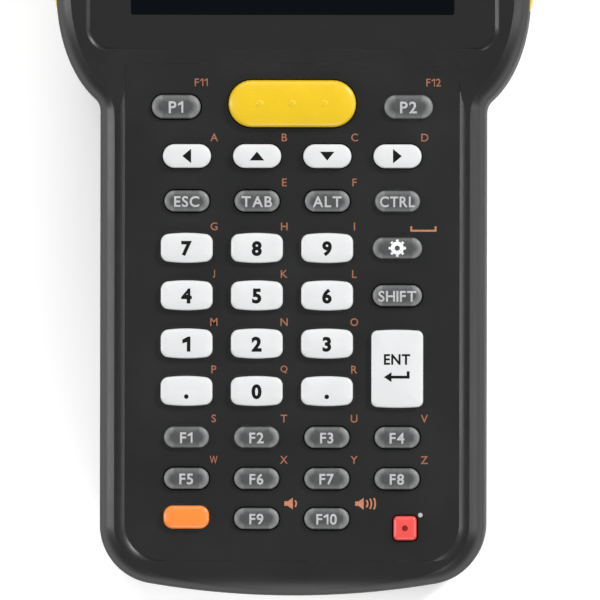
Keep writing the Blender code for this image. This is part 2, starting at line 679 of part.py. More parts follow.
def make_main_board():
    top = BOARD_TOP_Z
    outline = rounded_rectangle(54 * MM, -90 * MM, 88 * MM, 5 * MM, 2 * MM)
    board = slab("main_board", [outline], top - BOARD_THICKNESS, top, PARTS)
    join(
        board,
        block("radio_shield", (38 * MM, 30 * MM, 2.8 * MM), (0, 52 * MM, top + 1.2 * MM), CUTTERS),
        block("processor_shield", (34 * MM, 34 * MM, 2.8 * MM), (0, 6 * MM, top + 1.2 * MM), CUTTERS),
        block("power_shield", (30 * MM, 22 * MM, 2.2 * MM), (0, -48 * MM, top + 0.9 * MM), CUTTERS),
    )
    return finish(board, BOARD_GREEN, "circuit_board")


def make_scan_engine():
    """A boxed imager with its lens barrel towards the scan window."""
    engine = block("scan_engine", ENGINE_SIZE, (0, 0, 0), PARTS)
    engine.location = (0, ENGINE_Y, SCAN_WINDOW_Z)
    barrel = cylinder("lens_barrel", 3.6 * MM, -3 * MM, 3 * MM, 0, 0, CUTTERS, 20)
    barrel.rotation_euler = (math.radians(90), 0, 0)
    barrel.location = (5 * MM, 93.5 * MM, SCAN_WINDOW_Z)
    aimer = cylinder("aimer_barrel", 2.2 * MM, -2 * MM, 2 * MM, 0, 0, CUTTERS, 16)
    aimer.rotation_euler = (math.radians(90), 0, 0)
    aimer.location = (-6 * MM, 93.3 * MM, SCAN_WINDOW_Z)
    join(engine, barrel, aimer)
    return finish(engine, STEEL, "engine_metal")


def make_scan_window():
    width, height = SCAN_WINDOW_SIZE
    pane = slab("scan_window", [key_outline(width, height, 1.5 * MM, 0)], -0.6 * MM, 0.6 * MM, PARTS)
    pane.rotation_euler = (math.radians(-90), 0, 0)
    pane.location = (0, SCAN_WINDOW_Y, SCAN_WINDOW_Z)
    return finish(pane, SCAN_GLASS, "scan_glass")


def make_speaker():
    """An oval driver with a stepped cone, under the slots over the display."""
    outline = key_outline(18 * MM, 7.4 * MM, 3.5 * MM, 0)
    speaker = slab("speaker", [outline], -2 * MM, 1.4 * MM, PARTS)
    speaker.location = (0, SPEAKER_Y, SPEAKER_Z)
    cone = slab("speaker_cone", [inset(outline, 1.2 * MM)], 0.6 * MM, 3 * MM, CUTTERS)
    cone.location = speaker.location
    cut(speaker, cone)
    return finish(speaker, BLACK_RUBBER, "speaker_plastic")


def make_status_light():
    """A light pipe through the front wall, with a wider foot behind it."""
    pipe = cylinder("status_light", 1.2 * MM, -5 * MM, 0.1 * MM, 0, 0, PARTS, 12)
    pipe.location = (LIGHT_X, SPEAKER_Y, RIM_Z)
    foot = cylinder("light_foot", 2.2 * MM, -5.6 * MM, -3.4 * MM, 0, 0, CUTTERS, 12)
    foot.location = pipe.location
    join(pipe, foot)
    return finish(pipe, LIGHT_PIPE, "light_pipe")


def make_dock_connector():
    """A block in the grip's end with a row of raised contacts, which face along -Y."""
    width, height = DOCK_SIZE
    face_y = 0.8 * MM - LENGTH / 2
    depth = 2.8 * MM
    connector = slab("dock_connector", [key_outline(width, height, 1.2 * MM, 0)], -depth, 0, PARTS)
    connector.rotation_euler = (math.radians(90), 0, 0)
    connector.location = (0, face_y, DOCK_Z)
    for i in range(DOCK_CONTACTS):
        x = (i - (DOCK_CONTACTS - 1) / 2) * 2.4 * MM
        centre = (x, face_y, DOCK_Z)
        join(connector, block(f"dock_contact_{i + 1}", (1.3 * MM, 0.6 * MM, 2.6 * MM), centre, CUTTERS))
    return finish(connector, BLACK_PLASTIC, "dock_plastic")


def make_screw(name, x, y, seat_z):
    """A turned screw, driven from the back: its profile runs from the socket in its head to its tip."""
    head_low = -SCREW_HEAD_HEIGHT
    socket = 1.1 * MM
    edge = 0.4 * MM
    profile = [
        (0, SCREW_LENGTH),
        (SCREW_SHAFT_RADIUS * 0.6, SCREW_LENGTH),
        (SCREW_SHAFT_RADIUS, SCREW_LENGTH - 0.8 * MM),
        (SCREW_SHAFT_RADIUS, 0),
        (SCREW_HEAD_RADIUS, 0),
        (SCREW_HEAD_RADIUS, head_low + edge),
        (SCREW_HEAD_RADIUS - edge, head_low),
        (socket, head_low),
        (socket, head_low + 1 * MM),
        (0, head_low + 1 * MM),
    ]
    mesh = bpy.data.meshes.new(name)
    edges = [(i, i + 1) for i in range(len(profile) - 1)]
    mesh.from_pydata([(r, 0, z) for r, z in profile], edges, [])
    screw = bpy.data.objects.new(name, mesh)
    PARTS.objects.link(screw)
    turn = screw.modifiers.new("turn", "SCREW")
    turn.steps = 12
    turn.render_steps = 12
    turn.use_merge_vertices = True
    turn.merge_threshold = 0.00001
    screw.location = (x, y, seat_z - GAP)
    return finish(screw, STEEL, "screw_steel")


# ---------------------------------------------------------------- assembly

for leftover in list(bpy.data.objects):
    bpy.data.objects.remove(leftover)
PARTS = new_collection("handheld_terminal")
CUTTERS = new_collection("cutters")
TERMINAL = bpy.data.objects.new("terminal", None)
PARTS.objects.link(TERMINAL)

make_front_housing()
make_rear_housing()
make_housing_seal()
make_keypad_bezel()
make_keypad_layers()
make_keys()
make_side_key("side_key_left", -1)
make_side_key("side_key_right", 1)
make_display()
make_battery()
make_battery_latch()
make_main_board()
make_scan_engine()
make_scan_window()
make_speaker()
make_status_light()
make_dock_connector()
for screw_name, seat in SCREW_SEATS.items():
    make_screw(screw_name, *seat)
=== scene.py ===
"""The looks of a rugged handheld data terminal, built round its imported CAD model.

The terminal lies on its back: +X is its right side, +Y runs from the grip to the head, +Z is its face.
Lengths are in metres.
"""

import math

import bmesh
import bpy
from mathutils import Matrix, Vector
from mathutils.bvhtree import BVHTree


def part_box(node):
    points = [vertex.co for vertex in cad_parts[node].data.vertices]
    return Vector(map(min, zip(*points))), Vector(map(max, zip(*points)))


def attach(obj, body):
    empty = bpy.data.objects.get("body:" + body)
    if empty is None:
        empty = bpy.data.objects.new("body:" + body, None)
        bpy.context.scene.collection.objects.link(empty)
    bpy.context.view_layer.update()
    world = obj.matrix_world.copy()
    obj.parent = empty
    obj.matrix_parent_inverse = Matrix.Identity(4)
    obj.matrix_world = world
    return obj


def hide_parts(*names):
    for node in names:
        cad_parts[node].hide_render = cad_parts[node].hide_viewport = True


MM = 0.001

# The body in plan
HALF_GRIP = 30.9 * MM
HALF_HEAD = 38 * MM
HALF_LENGTH = 101 * MM
END_RADIUS = 137 * MM
END_CORNER = 9.5 * MM
TOP_RADIUS = 220 * MM
TOP_CORNER = 12 * MM
FLARE_START = -4.3 * MM
FLARE_DEPTH = 12 * MM
FLARE_LENGTH = 19.5 * MM
NECK_FILLET = 1.3 * MM

# The front housing in height
FRONT_LOW_Z = 17.6 * MM
FACE_Z = 33 * MM
INNER_FACE_Z = 32.5 * MM
BAND_WIDTH = 2.45 * MM
BAND_RADIUS = 4.27 * MM
ROLL_START_Y = -96.6 * MM
ROLL_RADIUS = 7 * MM
SIDE_TEXTURE_Z = 30.9 * MM
# The bevels round the recesses in the face: width, and lean in degrees at their lower and upper edges
KEYPAD_BEVEL = (1.05 * MM, 30, 13)
GLASS_BEVEL = (0.65 * MM, 44, 22)
HEAD_ROOF_Z = 30 * MM
POCKET_FLOOR_Z = 25.1 * MM

# The rear housing in height
REAR_HIGH_Z = 16.4 * MM
WALL = 2.2 * MM

# The keypad and display recesses in the face
KEYPAD_HALF_WIDTH = 26.8 * MM
KEYPAD_LOW_Y = -95.4 * MM
KEYPAD_HIGH_Y = -15.8 * MM
KEYPAD_CORNER = 6 * MM
GLASS_CORNER = 3.5 * MM
SCREEN_HALF_WIDTH = 25.92 * MM
SCREEN_LOW_Y = -8 * MM
SCREEN_HIGH_Y = 78.4 * MM

# The finger saddle across the back
SADDLE_RADIUS = 40 * MM
SADDLE_DEPTH = 5.5 * MM
SADDLE_Y = 2 * MM

# The side scan keys bulge in the middle of their length
SIDE_KEY_ARCH = 1.15 * MM
SIDE_KEY_EDGE = 0.8 * MM

# Key caps: width, height, corner radius, bow of the long edges, edge rounding, crown, kind of plastic
KEY_SHAPES = {
    "scan": (20.4 * MM, 7.5 * MM, 3.73 * MM, 0, 0.7 * MM, 0.35 * MM, "yellow"),
    "program": (7.8 * MM, 3.8 * MM, 1.88 * MM, 0, 0.45 * MM, 0.25 * MM, "grey"),
    "arrow": (7.7 * MM, 3.8 * MM, 1.88 * MM, 0, 0.4 * MM, 0.2 * MM, "white"),
    "small": (7.2 * MM, 3.4 * MM, 1.68 * MM, 0, 0.4 * MM, 0.22 * MM, "grey"),
    "wide": (7.9 * MM, 3.4 * MM, 1.68 * MM, 0, 0.4 * MM, 0.22 * MM, "grey"),
    "digit": (8.3 * MM, 4.8 * MM, 1.1 * MM, 0.35 * MM, 0.4 * MM, 0.2 * MM, "white"),
    "enter": (8.3 * MM, 12.5 * MM, 0.9 * MM, 0.2 * MM, 0.4 * MM, 0.25 * MM, "white"),
    "modifier": (7.3 * MM, 3.7 * MM, 1.5 * MM, 0, 0.5 * MM, 0.2 * MM, "orange"),
    "power": (3.7 * MM, 3.9 * MM, 0.7 * MM, 0, 0.6 * MM, 0.1 * MM, "red"),
}

# Each key: its shape, its legend, and the letter printed over its right end
KEYS = {
    "p1": ("program", "P1", "F11"),
    "p2": ("program", "P2", "F12"),
    "scan": ("scan", None, None),
    "left": ("arrow", None, "A"),
    "up": ("arrow", None, "B"),
    "down": ("arrow", None, "C"),
    "right": ("arrow", None, "D"),
    "esc": ("small", "ESC", None),
    "tab": ("small", "TAB", "E"),
    "alt": ("small", "ALT", "F"),
    "ctrl": ("small", "CTRL", None),
    "7": ("digit", "7", "G"),
    "8": ("digit", "8", "H"),
    "9": ("digit", "9", "I"),
    "backlight": ("wide", None, None),
    "4": ("digit", "4", "J"),
    "5": ("digit", "5", "K"),
    "6": ("digit", "6", "L"),
    "shift": ("wide", "SHIFT", None),
    "1": ("digit", "1", "M"),
    "2": ("digit", "2", "N"),
    "3": ("digit", "3", "O"),
    "enter": ("enter", None, None),
    "comma": ("digit", None, "P"),
    "0": ("digit", "0", "Q"),
    "point": ("digit", None, "R"),
    "f1": ("small", "F1", "S"),
    "f2": ("small", "F2", "T"),
    "f3": ("small", "F3", "U"),
    "f4": ("small", "F4", "V"),
    "f5": ("small", "F5", "W"),
    "f6": ("small", "F6", "X"),
    "f7": ("small", "F7", "Y"),
    "f8": ("small", "F8", "Z"),
    "modifier": ("modifier", None, None),
    "f9": ("small", "F9", None),
    "f10": ("small", "F10", None),
    "power": ("power", None, None),
}
LEGEND_HEIGHTS = {"digit": 2.4 * MM, "small": 1.75 * MM, "wide": 1.75 * MM, "program": 1.9 * MM}
LEGEND_WIDTHS = {
    "ESC": 5 * MM,
    "TAB": 5 * MM,
    "ALT": 4.6 * MM,
    "CTRL": 5.6 * MM,
    "SHIFT": 6.2 * MM,
    "F10": 4.6 * MM,
}
LEGEND_WIDTH = 3.4 * MM
SMALL_LETTER_HEIGHT = 1.25 * MM
LETTER_GAP = 0.13
INK = 0.08 * MM
CAP_HEIGHT = 0.7

# From a key's centre to the small letter over its right end, and that letter's greatest width
SMALL_LETTER_PLACES = {
    "digit": (4.35 * MM, 3.45 * MM, 1.25 * MM),
    "arrow": (4.35 * MM, 3 * MM, 1.25 * MM),
    "small": (4.35 * MM, 3 * MM, 1.25 * MM),
    "program": (4 * MM, 3.9 * MM, 3 * MM),
}

# Symbols on the bezel: which, the key it is by, its place from the key's centre, and its ink
BEZEL_SYMBOLS = [
    ("space", "backlight", 4.15 * MM, 3.05 * MM, 1),
    ("quiet", "f9", 5.8 * MM, 2.4 * MM, 1),
    ("loud", "f10", 5.9 * MM, 2.4 * MM, 1),
    ("dot", "power", 2.45 * MM, 2.1 * MM, 2),
]

# The screws that hold the housings together, and the bosses and posts round them
SCREWS = ["housing_screw_1", "housing_screw_2", "housing_screw_3", "housing_screw_4"]
SCREW_HOLE_RADIUS = 1.55 * MM
SCREW_HEAD_HOLE_RADIUS = 2.8 * MM
BOSS_RADIUS = 3.4 * MM
POST_RADIUS = 3.6 * MM

# The blank plate in the back, and the gap round it
LABEL_WIDTH = 44 * MM
LABEL_LOW_Y = 42 * MM
LABEL_HIGH_Y = 82 * MM
LABEL_CORNER = 2 * MM
LABEL_GAP = 0.3 * MM

# The port cover in the head's left side
PORT_HALF_WIDTH = 3.1 * MM
PORT_LOW_Y = 46 * MM
PORT_HIGH_Y = 64 * MM
PORT_CORNER = 1.6 * MM
PORT_Z = 23.6 * MM

# Short upright grooves in both sides of the grip
GRIP_GROOVES = 18
GRIP_GROOVE_PITCH = 2.8 * MM
GRIP_GROOVE_START_Y = -82 * MM


# ---------------------------------------------------------------- outlines


def arc(centre, radius, start, end, steps):
    """Points on an arc, its angles in degrees, with both ends."""
    angles = [math.radians(start + (end - start) * i / steps) for i in range(steps + 1)]
    return [(centre[0] + radius * math.cos(a), centre[1] + radius * math.sin(a)) for a in angles]


def rounded_rectangle(width, low_y, high_y, low_radius, steps=8, high_radius=None):
    """A counterclockwise rectangle about the Y axis. Its upper corners may have a radius of their own."""
    if high_radius is None:
        high_radius = low_radius
    x = width / 2
    points = []
    for centre, radius, start in (
        ((x - low_radius, low_y + low_radius), low_radius, -90),
        ((x - high_radius, high_y - high_radius), high_radius, 0),
        ((high_radius - x, high_y - high_radius), high_radius, 90),
        ((low_radius - x, low_y + low_radius), low_radius, 180),
    ):
        points += arc(centre, radius, start, start + 90, steps)
    return points


def inset(points, distances):
    """A closed counterclockwise outline moved inwards, by one distance or by one for each point."""
    if isinstance(distances, (int, float)):
        distances = [distances] * len(points)
    moved = []
    for i, ((x, y), distance) in enumerate(zip(points, distances)):
        before = points[i - 1]
        after = points[(i + 1) % len(points)]
        nx = ny = 0.0
        for (ax, ay), (bx, by) in ((before, (x, y)), ((x, y), after)):
            length = math.hypot(bx - ax, by - ay)
            nx += (ay - by) / length
            ny += (bx - ax) / length
        scale = distance * 2 / (nx * nx + ny * ny)
        moved.append((x + nx * scale, y + ny * scale))
    return moved


def curve_between(start, bend, end, steps):
    """Points on a quadratic curve, without its first point."""
    points = []
    for i in range(1, steps + 1):
        t = i / steps
        weights = ((1 - t) ** 2, 2 * t * (1 - t), t * t)
        points.append(tuple(sum(w * p[k] for w, p in zip(weights, (start, bend, end))) for k in (0, 1)))
    return points


def body_outline():
    """The body in plan, counterclockwise from the middle of the grip's end."""
    end_centre_y = END_RADIUS - HALF_LENGTH
    corner_x = HALF_GRIP - END_CORNER
    corner_y = end_centre_y - math.sqrt((END_RADIUS - END_CORNER) ** 2 - corner_x**2)
    end_angle = math.degrees(math.asin(corner_x / (END_RADIUS - END_CORNER)))
    right = arc((0, end_centre_y), END_RADIUS, -90, end_angle - 90, 14)[:-1]
    right += arc((corner_x, corner_y), END_CORNER, end_angle - 90, 0, 20)
    right += [(HALF_GRIP, corner_y + (i + 1) * 9 * MM) for i in range(7)]

    def flare(angle):
        x = HALF_HEAD - FLARE_DEPTH * (1 - math.cos(angle))
        return x, FLARE_START - FLARE_LENGTH * math.sin(angle)

    narrowing = math.acos(1 - (HALF_HEAD - HALF_GRIP) / FLARE_DEPTH)
    first = narrowing * 0.93
    flare_start = flare(first)
    slope = FLARE_LENGTH * math.cos(first) / (FLARE_DEPTH * math.sin(first))
    bend = (HALF_GRIP, flare_start[1] - (flare_start[0] - HALF_GRIP) * slope)
    neck = (HALF_GRIP, bend[1] - NECK_FILLET)
    right.append(neck)
    right += curve_between(neck, bend, flare_start, 6)
    right += [flare(first * (1 - i / 20)) for i in range(1, 21)]
    right += [(HALF_HEAD, FLARE_START + i * 15 * MM) for i in range(1, 6)]

    top_centre_y = HALF_LENGTH - TOP_RADIUS
    top_x = HALF_HEAD - TOP_CORNER
    top_y = top_centre_y + math.sqrt((TOP_RADIUS - TOP_CORNER) ** 2 - top_x**2)
    top_angle = 90 - math.degrees(math.asin(top_x / (TOP_RADIUS - TOP_CORNER)))
    right += arc((top_x, top_y), TOP_CORNER, 0, top_angle, 20)
    right += arc((0, top_centre_y), TOP_RADIUS, top_angle, 90, 12)[1:]
    left = [(-x, y) for x, y in reversed(right[1:-1])]
    return right + left


def smoothstep(low, high, value):
    t = min(1.0, max(0.0, (value - low) / (high - low)))
    return t * t * (3 - 2 * t)


# ---------------------------------------------------------------- mesh tools


def new_object(name, mesh):
    made = bpy.data.objects.new(name, mesh)
    bpy.context.scene.collection.objects.link(made)
    return made


def object_of(name, bm):
    bmesh.ops.recalc_face_normals(bm, faces=bm.faces)
    if bm.calc_volume(signed=True) < 0:
        bmesh.ops.reverse_faces(bm, faces=bm.faces)
    mesh = bpy.data.meshes.new(name)
    bm.to_mesh(mesh)
    bm.free()
    return new_object(name, mesh)


def bridge(bm, loops):
    """The quads from each loop of vertices to the next, which has as many."""
    quads = []
    for lower, upper in zip(loops, loops[1:]):
        for i, vertex in enumerate(lower):
            j = (i + 1) % len(lower)
            quads.append(bm.faces.new((vertex, lower[j], upper[j], upper[i])))
    return quads


def lofted(bm, rings):
    """A closed solid through rings of points, each ring with as many points as the next."""
    loops = [[bm.verts.new(point) for point in ring] for ring in rings]
    bridge(bm, loops)
    bm.faces.new(loops[0][::-1])
    bm.faces.new(loops[-1])


def lofts(name, stacks):
    """An object of closed solids, each through a stack of rings."""
    bm = bmesh.new()
    for rings in stacks:
        lofted(bm, rings)
    return object_of(name, bm)


def in_mm(profile, rise=0.0):
    """A profile's (inset, height) in millimetres brought to metres, with the heights measured from rise."""
    return [(distance * MM, rise + z * MM) for distance, z in profile]


def rounding(radius, turn, steps):
    """(inset, rise) up a rounded edge that turns inwards by an angle."""
    angles = [turn * i / steps for i in range(steps + 1)]
    return [(radius * (1 - math.cos(a)), radius * math.sin(a)) for a in angles]


def rings_of(outline, profile):
    """Rings of an outline at each (inset, height) of a profile."""
    return [[(x, y, z) for x, y in inset(outline, distance)] for distance, z in profile]


def solid(name, outline, profile):
    return lofts(name, [rings_of(outline, profile)])


def prism(name, outline, low, high):
    return solid(name, outline, [(0, low), (0, high)])


def turned(name, node, profile):
    """A solid turned about a CAD node's upright axis, by (radius, height over its foot) in millimetres."""
    middle = middle_of(node)
    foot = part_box(node)[0].z
    rings = []
    for radius, z in profile:
        rings.append([(x, y, foot + z * MM) for x, y in disc(radius * MM, middle.x, middle.y)])
    return lofts(name, [rings])


def block(name, low, high):
    """A box between two corners."""
    bm = bmesh.new()
    bmesh.ops.create_cube(bm, size=1)
    size = Vector(high) - Vector(low)
    middle = (Vector(high) + Vector(low)) / 2
    bmesh.ops.scale(bm, verts=bm.verts, vec=size)
    bmesh.ops.translate(bm, verts=bm.verts, vec=middle)
    return object_of(name, bm)


def round_post(bm, x, y, radius, low, high, sides=32):
    place = Matrix.Translation((x, y, (low + high) / 2))
    bmesh.ops.create_cone(
        bm, cap_ends=True, segments=sides, radius1=radius, radius2=radius, depth=high - low, matrix=place
    )


def posts(name, places, sides=32):
    """Separate upright cylinders in one object, each by (x, y, radius, low, high)."""
    bm = bmesh.new()
    for x, y, radius, low, high in places:
        round_post(bm, x, y, radius, low, high, sides)
    return object_of(name, bm)


def settle(piece):
    """Applies a piece's modifiers."""
    graph = bpy.context.evaluated_depsgraph_get()
    mesh = bpy.data.meshes.new_from_object(piece.evaluated_get(graph))
    piece.modifiers.clear()
    piece.data = mesh
    return piece


def combine(piece, tools, operation):
    for tool in tools:
        modifier = piece.modifiers.new("combine", "BOOLEAN")
        modifier.operation = operation
        modifier.solver = "EXACT"
        modifier.object = tool
    settle(piece)
    for tool in tools:
        bpy.data.objects.remove(tool)
    return piece


def cut(piece, *tools):
    return combine(piece, tools, "DIFFERENCE")


def join(piece, *tools):
    return combine(piece, tools, "UNION")


def shade(piece, angle):
    """Smooth shading with sharp edges, and normals weighted by face so that flat faces stay flat."""
    piece.data.shade_smooth()
    piece.data.set_sharp_from_angle(angle=math.radians(angle))
    weighted = piece.modifiers.new("weighted", "WEIGHTED_NORMAL")
    weighted.keep_sharp = True
    return piece


def bevel_edges(piece, width, segments=3, angle=40):
    bevel = piece.modifiers.new("bevel", "BEVEL")
    bevel.width = width
    bevel.segments = segments
    bevel.limit_method = "ANGLE"
    bevel.angle_limit = math.radians(angle)
    bevel.harden_normals = False
    return settle(piece)


def stand_up(piece):
    """Swaps a piece's Y and Z, which turns a solid drawn in plan to face along Y."""
    bm = bmesh.new()
    bm.from_mesh(piece.data)
    bmesh.ops.transform(bm, matrix=Matrix(((1, 0, 0), (0, 0, 1), (0, 1, 0))).to_4x4(), verts=bm.verts)
    bmesh.ops.reverse_faces(bm, faces=bm.faces)
    bm.to_mesh(piece.data)
    bm.free()
    return piece


def dress(piece, *looks):
    for look in looks:
        piece.data.materials.append(look)
    return piece


def put(piece, body, slot, *nodes):
    """Rides the piece on its body in place of CAD nodes."""
    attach(piece, body)
    if nodes:
        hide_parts(*nodes)
    return piece


def complete(piece, look, body, slot, *nodes, sharp=32):
    """Shades and paints a piece, and puts it on its body."""
    shade(piece, sharp)
    dress(piece, look)
    return put(piece, body, slot, *nodes)


def middle_of(node):
    low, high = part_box(node)
    return (low + high) / 2


# ---------------------------------------------------------------- materials


def scaled(colour, factor):
    return tuple(channel * factor for channel in colour)


class Nodes:
    """A new material's node tree, with short calls for what the materials below use."""

    def __init__(self, name):
        self.material = bpy.data.materials.new(name)
        self.material.use_nodes = True
        self.tree = self.material.node_tree
        self.shader = self.tree.nodes["Principled BSDF"]
        self.place = self.new("TexCoord").outputs["Object"]

    def plug(self, socket, value):
        """Gives a socket a number, a colour, a vector or another node's output."""
        if isinstance(value, (int, float)):
            socket.default_value = value
        elif isinstance(value, tuple):
            socket.default_value = (*value, 1) if socket.type == "RGBA" else value
        else:
            self.tree.links.new(value, socket)

    def new(self, kind, **values):
        """A new node with values for some of its inputs."""
        node = self.tree.nodes.new("ShaderNode" + kind)
        for name, value in values.items():
            self.plug(node.inputs[name.replace("_", " ").title()], value)
        return node

    def noise(self, scale, detail=3.0, roughness=0.55, stretch=None):
        """Noise with features about 1 / scale metres across."""
        place = self.place
        if stretch:
            place = self.new("Mapping", vector=place, scale=stretch).outputs["Vector"]
        node = self.new("TexNoise", vector=place, scale=scale, detail=detail, roughness=roughness)
        return node.outputs["Fac"]

    def ramp(self, value, low, high, first=0.0, last=1.0):
        """Maps a value's range to another range, with its ends clamped."""
        node = self.new("MapRange", value=value, from_min=low, from_max=high, to_min=first, to_max=last)
        return node.outputs["Result"]

    def mix(self, factor, first, second):
        """A colour between two, either of which may be a socket."""
        node = self.new("Mix", factor=factor)
        node.data_type = "RGBA"
        self.plug(node.inputs[6], first)
        self.plug(node.inputs[7], second)
        return node.outputs[2]

    def tones(self, value, low, colour, darkest):
        """A colour that falls to a share of itself where a value falls from 0.7 to low."""
        return self.mix(self.ramp(value, low, 0.7), scaled(colour, darkest), colour)

    def math(self, operation, first, second):
        node = self.new("Math")
        node.operation = operation
        self.plug(node.inputs[0], first)
        self.plug(node.inputs[1], second)
        return node.outputs["Value"]

    def attribute(self, name):
        node = self.new("Attribute")
        node.attribute_name = name
        return node.outputs["Fac"]

    def height(self):
        """The height of each place over the surface that the terminal lies on."""
        return self.new("SeparateXYZ", vector=self.place).outputs["Z"]

    def edge_wear(self, radius):
        """How sharply the surface bends outwards at each place, from 0 to 1."""
        bevel = self.new("Bevel", radius=radius)
        bevel.samples = 6
        dot = self.new("VectorMath")
        dot.operation = "DOT_PRODUCT"
        self.plug(dot.inputs[0], bevel.outputs["Normal"])
        self.plug(dot.inputs[1], self.new("NewGeometry").outputs["Normal"])
        return self.ramp(dot.outputs["Value"], 1.0, 0.9)

    def bump(self, height, distance):
        node = self.new("Bump", height=height, distance=distance, strength=1.0)
        self.plug(self.shader.inputs["Normal"], node.outputs["Normal"])

    def set(self, **values):
        for name, value in values.items():
            self.plug(self.shader.inputs[name.replace("_", " ").title().replace("Ior", "IOR")], value)


def moulded_plastic(name, colour, roughness=0.285, grain=0.012 * MM, grain_scale=5200, spread=0.12):
    """Spark-eroded plastic: a fine grain, slow changes of tone and gloss, and worn patches along its edges.
    It is rougher below the band round the face."""
    nodes = Nodes(name)
    slow = nodes.noise(70, 3.0)
    fine = nodes.noise(grain_scale, 2.0, 0.6)
    darker = scaled(colour, 1 - spread)
    lighter = scaled(colour, 1 + spread)
    tone = nodes.mix(nodes.ramp(slow, 0.35, 0.65), darker, lighter)
    grained = nodes.mix(nodes.ramp(fine, 0.4, 0.75, 0.0, 0.35), tone, scaled(colour, 1.5))
    patches = nodes.ramp(nodes.noise(420, 4.0, 0.7), 0.46, 0.74)
    worn = nodes.math("MULTIPLY", nodes.edge_wear(0.3 * MM), patches)
    gloss = nodes.ramp(slow, 0.3, 0.7, roughness, roughness + 0.08)
    sides = nodes.ramp(nodes.height(), SIDE_TEXTURE_Z, SIDE_TEXTURE_Z + 1.4 * MM, 0.6, 0.0)
    nodes.set(
        base_color=nodes.mix(worn, grained, scaled(colour, 2.4)),
        roughness=nodes.math("MAXIMUM", gloss, sides),
        specular_ior_level=0.28,
    )
    nodes.bump(fine, grain)
    return nodes.material


def key_plastic(name, colour, roughness=0.35, coat=0.15):
    """Smooth key plastic with a faint orange peel and thin scuffs."""
    nodes = Nodes(name)
    slow = nodes.noise(260, 2.0)
    peel = nodes.noise(2600, 2.0)
    scuffs = nodes.noise(900, 4.0, 0.7, stretch=(1, 6, 1))
    nodes.set(
        base_color=nodes.tones(slow, 0.3, colour, 0.95),
        roughness=nodes.ramp(scuffs, 0.35, 0.7, roughness - 0.06, roughness + 0.1),
        coat_weight=coat,
        coat_roughness=0.3,
    )
    nodes.bump(peel, 0.004 * MM)
    return nodes.material


def smoked_plastic(name):
    """Translucent grey caps: a dark middle and paler ends. The paler ends are a painted highlight, where
    the caps' rounded ends catch the light.
    """
    nodes = Nodes(name)
    cloud = nodes.noise(900, 3.0)
    # rim is the painted highlight on the caps' ends, with random tone mixed in
    rim = nodes.math("ADD", nodes.attribute("rim"), nodes.ramp(cloud, 0.3, 0.7, -0.12, 0.12))
    peel = nodes.noise(2600, 2.0)
    nodes.set(
        # base colour runs from the dark middle to the painted highlight on the ends
        base_color=nodes.mix(nodes.ramp(rim, 0.05, 0.95), (0.048, 0.049, 0.05), (0.155, 0.157, 0.16)),
        roughness=nodes.ramp(cloud, 0.3, 0.7, 0.38, 0.5),
    )
    nodes.bump(peel, 0.004 * MM)
    return nodes.material


def printed_ink(name, colour, specular=0.5):
    nodes = Nodes(name)
    mottle = nodes.noise(3000, 3.0)
    nodes.set(
        base_color=nodes.tones(mottle, 0.35, colour, 0.8),
        roughness=nodes.ramp(mottle, 0.3, 0.7, 0.45, 0.6),
        specular_ior_level=specular,
    )
    return nodes.material


def window_glass(name, colour, roughness=0.08, specular=0.5):
    """Hard-coated cover glass with faint smears in its gloss."""
    nodes = Nodes(name)
    smears = nodes.noise(140, 6.0, 0.75, stretch=(1, 1.6, 1))
    nodes.set(
        base_color=nodes.tones(smears, 0.3, colour, 0.9),
        roughness=nodes.ramp(smears, 0.3, 0.75, roughness, roughness + 0.04),
        specular_ior_level=specular,
    )
    return nodes.material


def soft_rubber(name, colour, roughness=0.75):
    nodes = Nodes(name)
    fine = nodes.noise(3500, 3.0)
    nodes.set(
        base_color=nodes.tones(fine, 0.35, colour, 0.8),
        roughness=nodes.ramp(fine, 0.3, 0.7, roughness - 0.05, roughness + 0.08),
    )
    nodes.bump(fine, 0.01 * MM)
    return nodes.material


def metal(name, colour, roughness=0.3, stretch=(1, 1, 12)):
    nodes = Nodes(name)
    lines = nodes.noise(1400, 4.0, 0.7, stretch=stretch)
    nodes.set(
        base_color=nodes.tones(lines, 0.3, colour, 0.85),
        roughness=nodes.ramp(lines, 0.3, 0.7, roughness - 0.06, roughness + 0.12),
        metallic=1.0,
    )
    nodes.bump(lines, 0.003 * MM)
    return nodes.material


def circuit_board(name):
    """Solder mask with copper traces showing through as paler lines."""
    nodes = Nodes(name)
    traces = nodes.noise(500, 1.0, 0.4, stretch=(1, 0.15, 1))
    crossing = nodes.noise(500, 1.0, 0.4, stretch=(0.15, 1, 1))
    lines = nodes.math("MAXIMUM", nodes.ramp(traces, 0.56, 0.6), nodes.ramp(crossing, 0.56, 0.6))
    nodes.set(base_color=nodes.mix(lines, (0.01, 0.07, 0.025), (0.03, 0.17, 0.06)), roughness=0.35)
    nodes.bump(lines, 0.02 * MM)
    return nodes.material


# ---------------------------------------------------------------- housings


def face_recess(x, y):
    """How far the face dips under its rim. It is flush with the glass and the bezel between them and below
    the bezel, where it then rolls off to the grip's end."""
    across = 1 - smoothstep(26 * MM, 31.5 * MM, abs(x))
    between = across * smoothstep(-25 * MM, -18 * MM, y) * (1 - smoothstep(-12.8 * MM, -9 * MM, y))
    below = (1 - smoothstep(19 * MM, 27 * MM, abs(x))) * (1 - smoothstep(-94 * MM, -90 * MM, y))
    roll = max(0.0, ROLL_START_Y - y)
    return (FACE_Z - INNER_FACE_Z) * max(between, below) + roll * roll / (2 * ROLL_RADIUS)


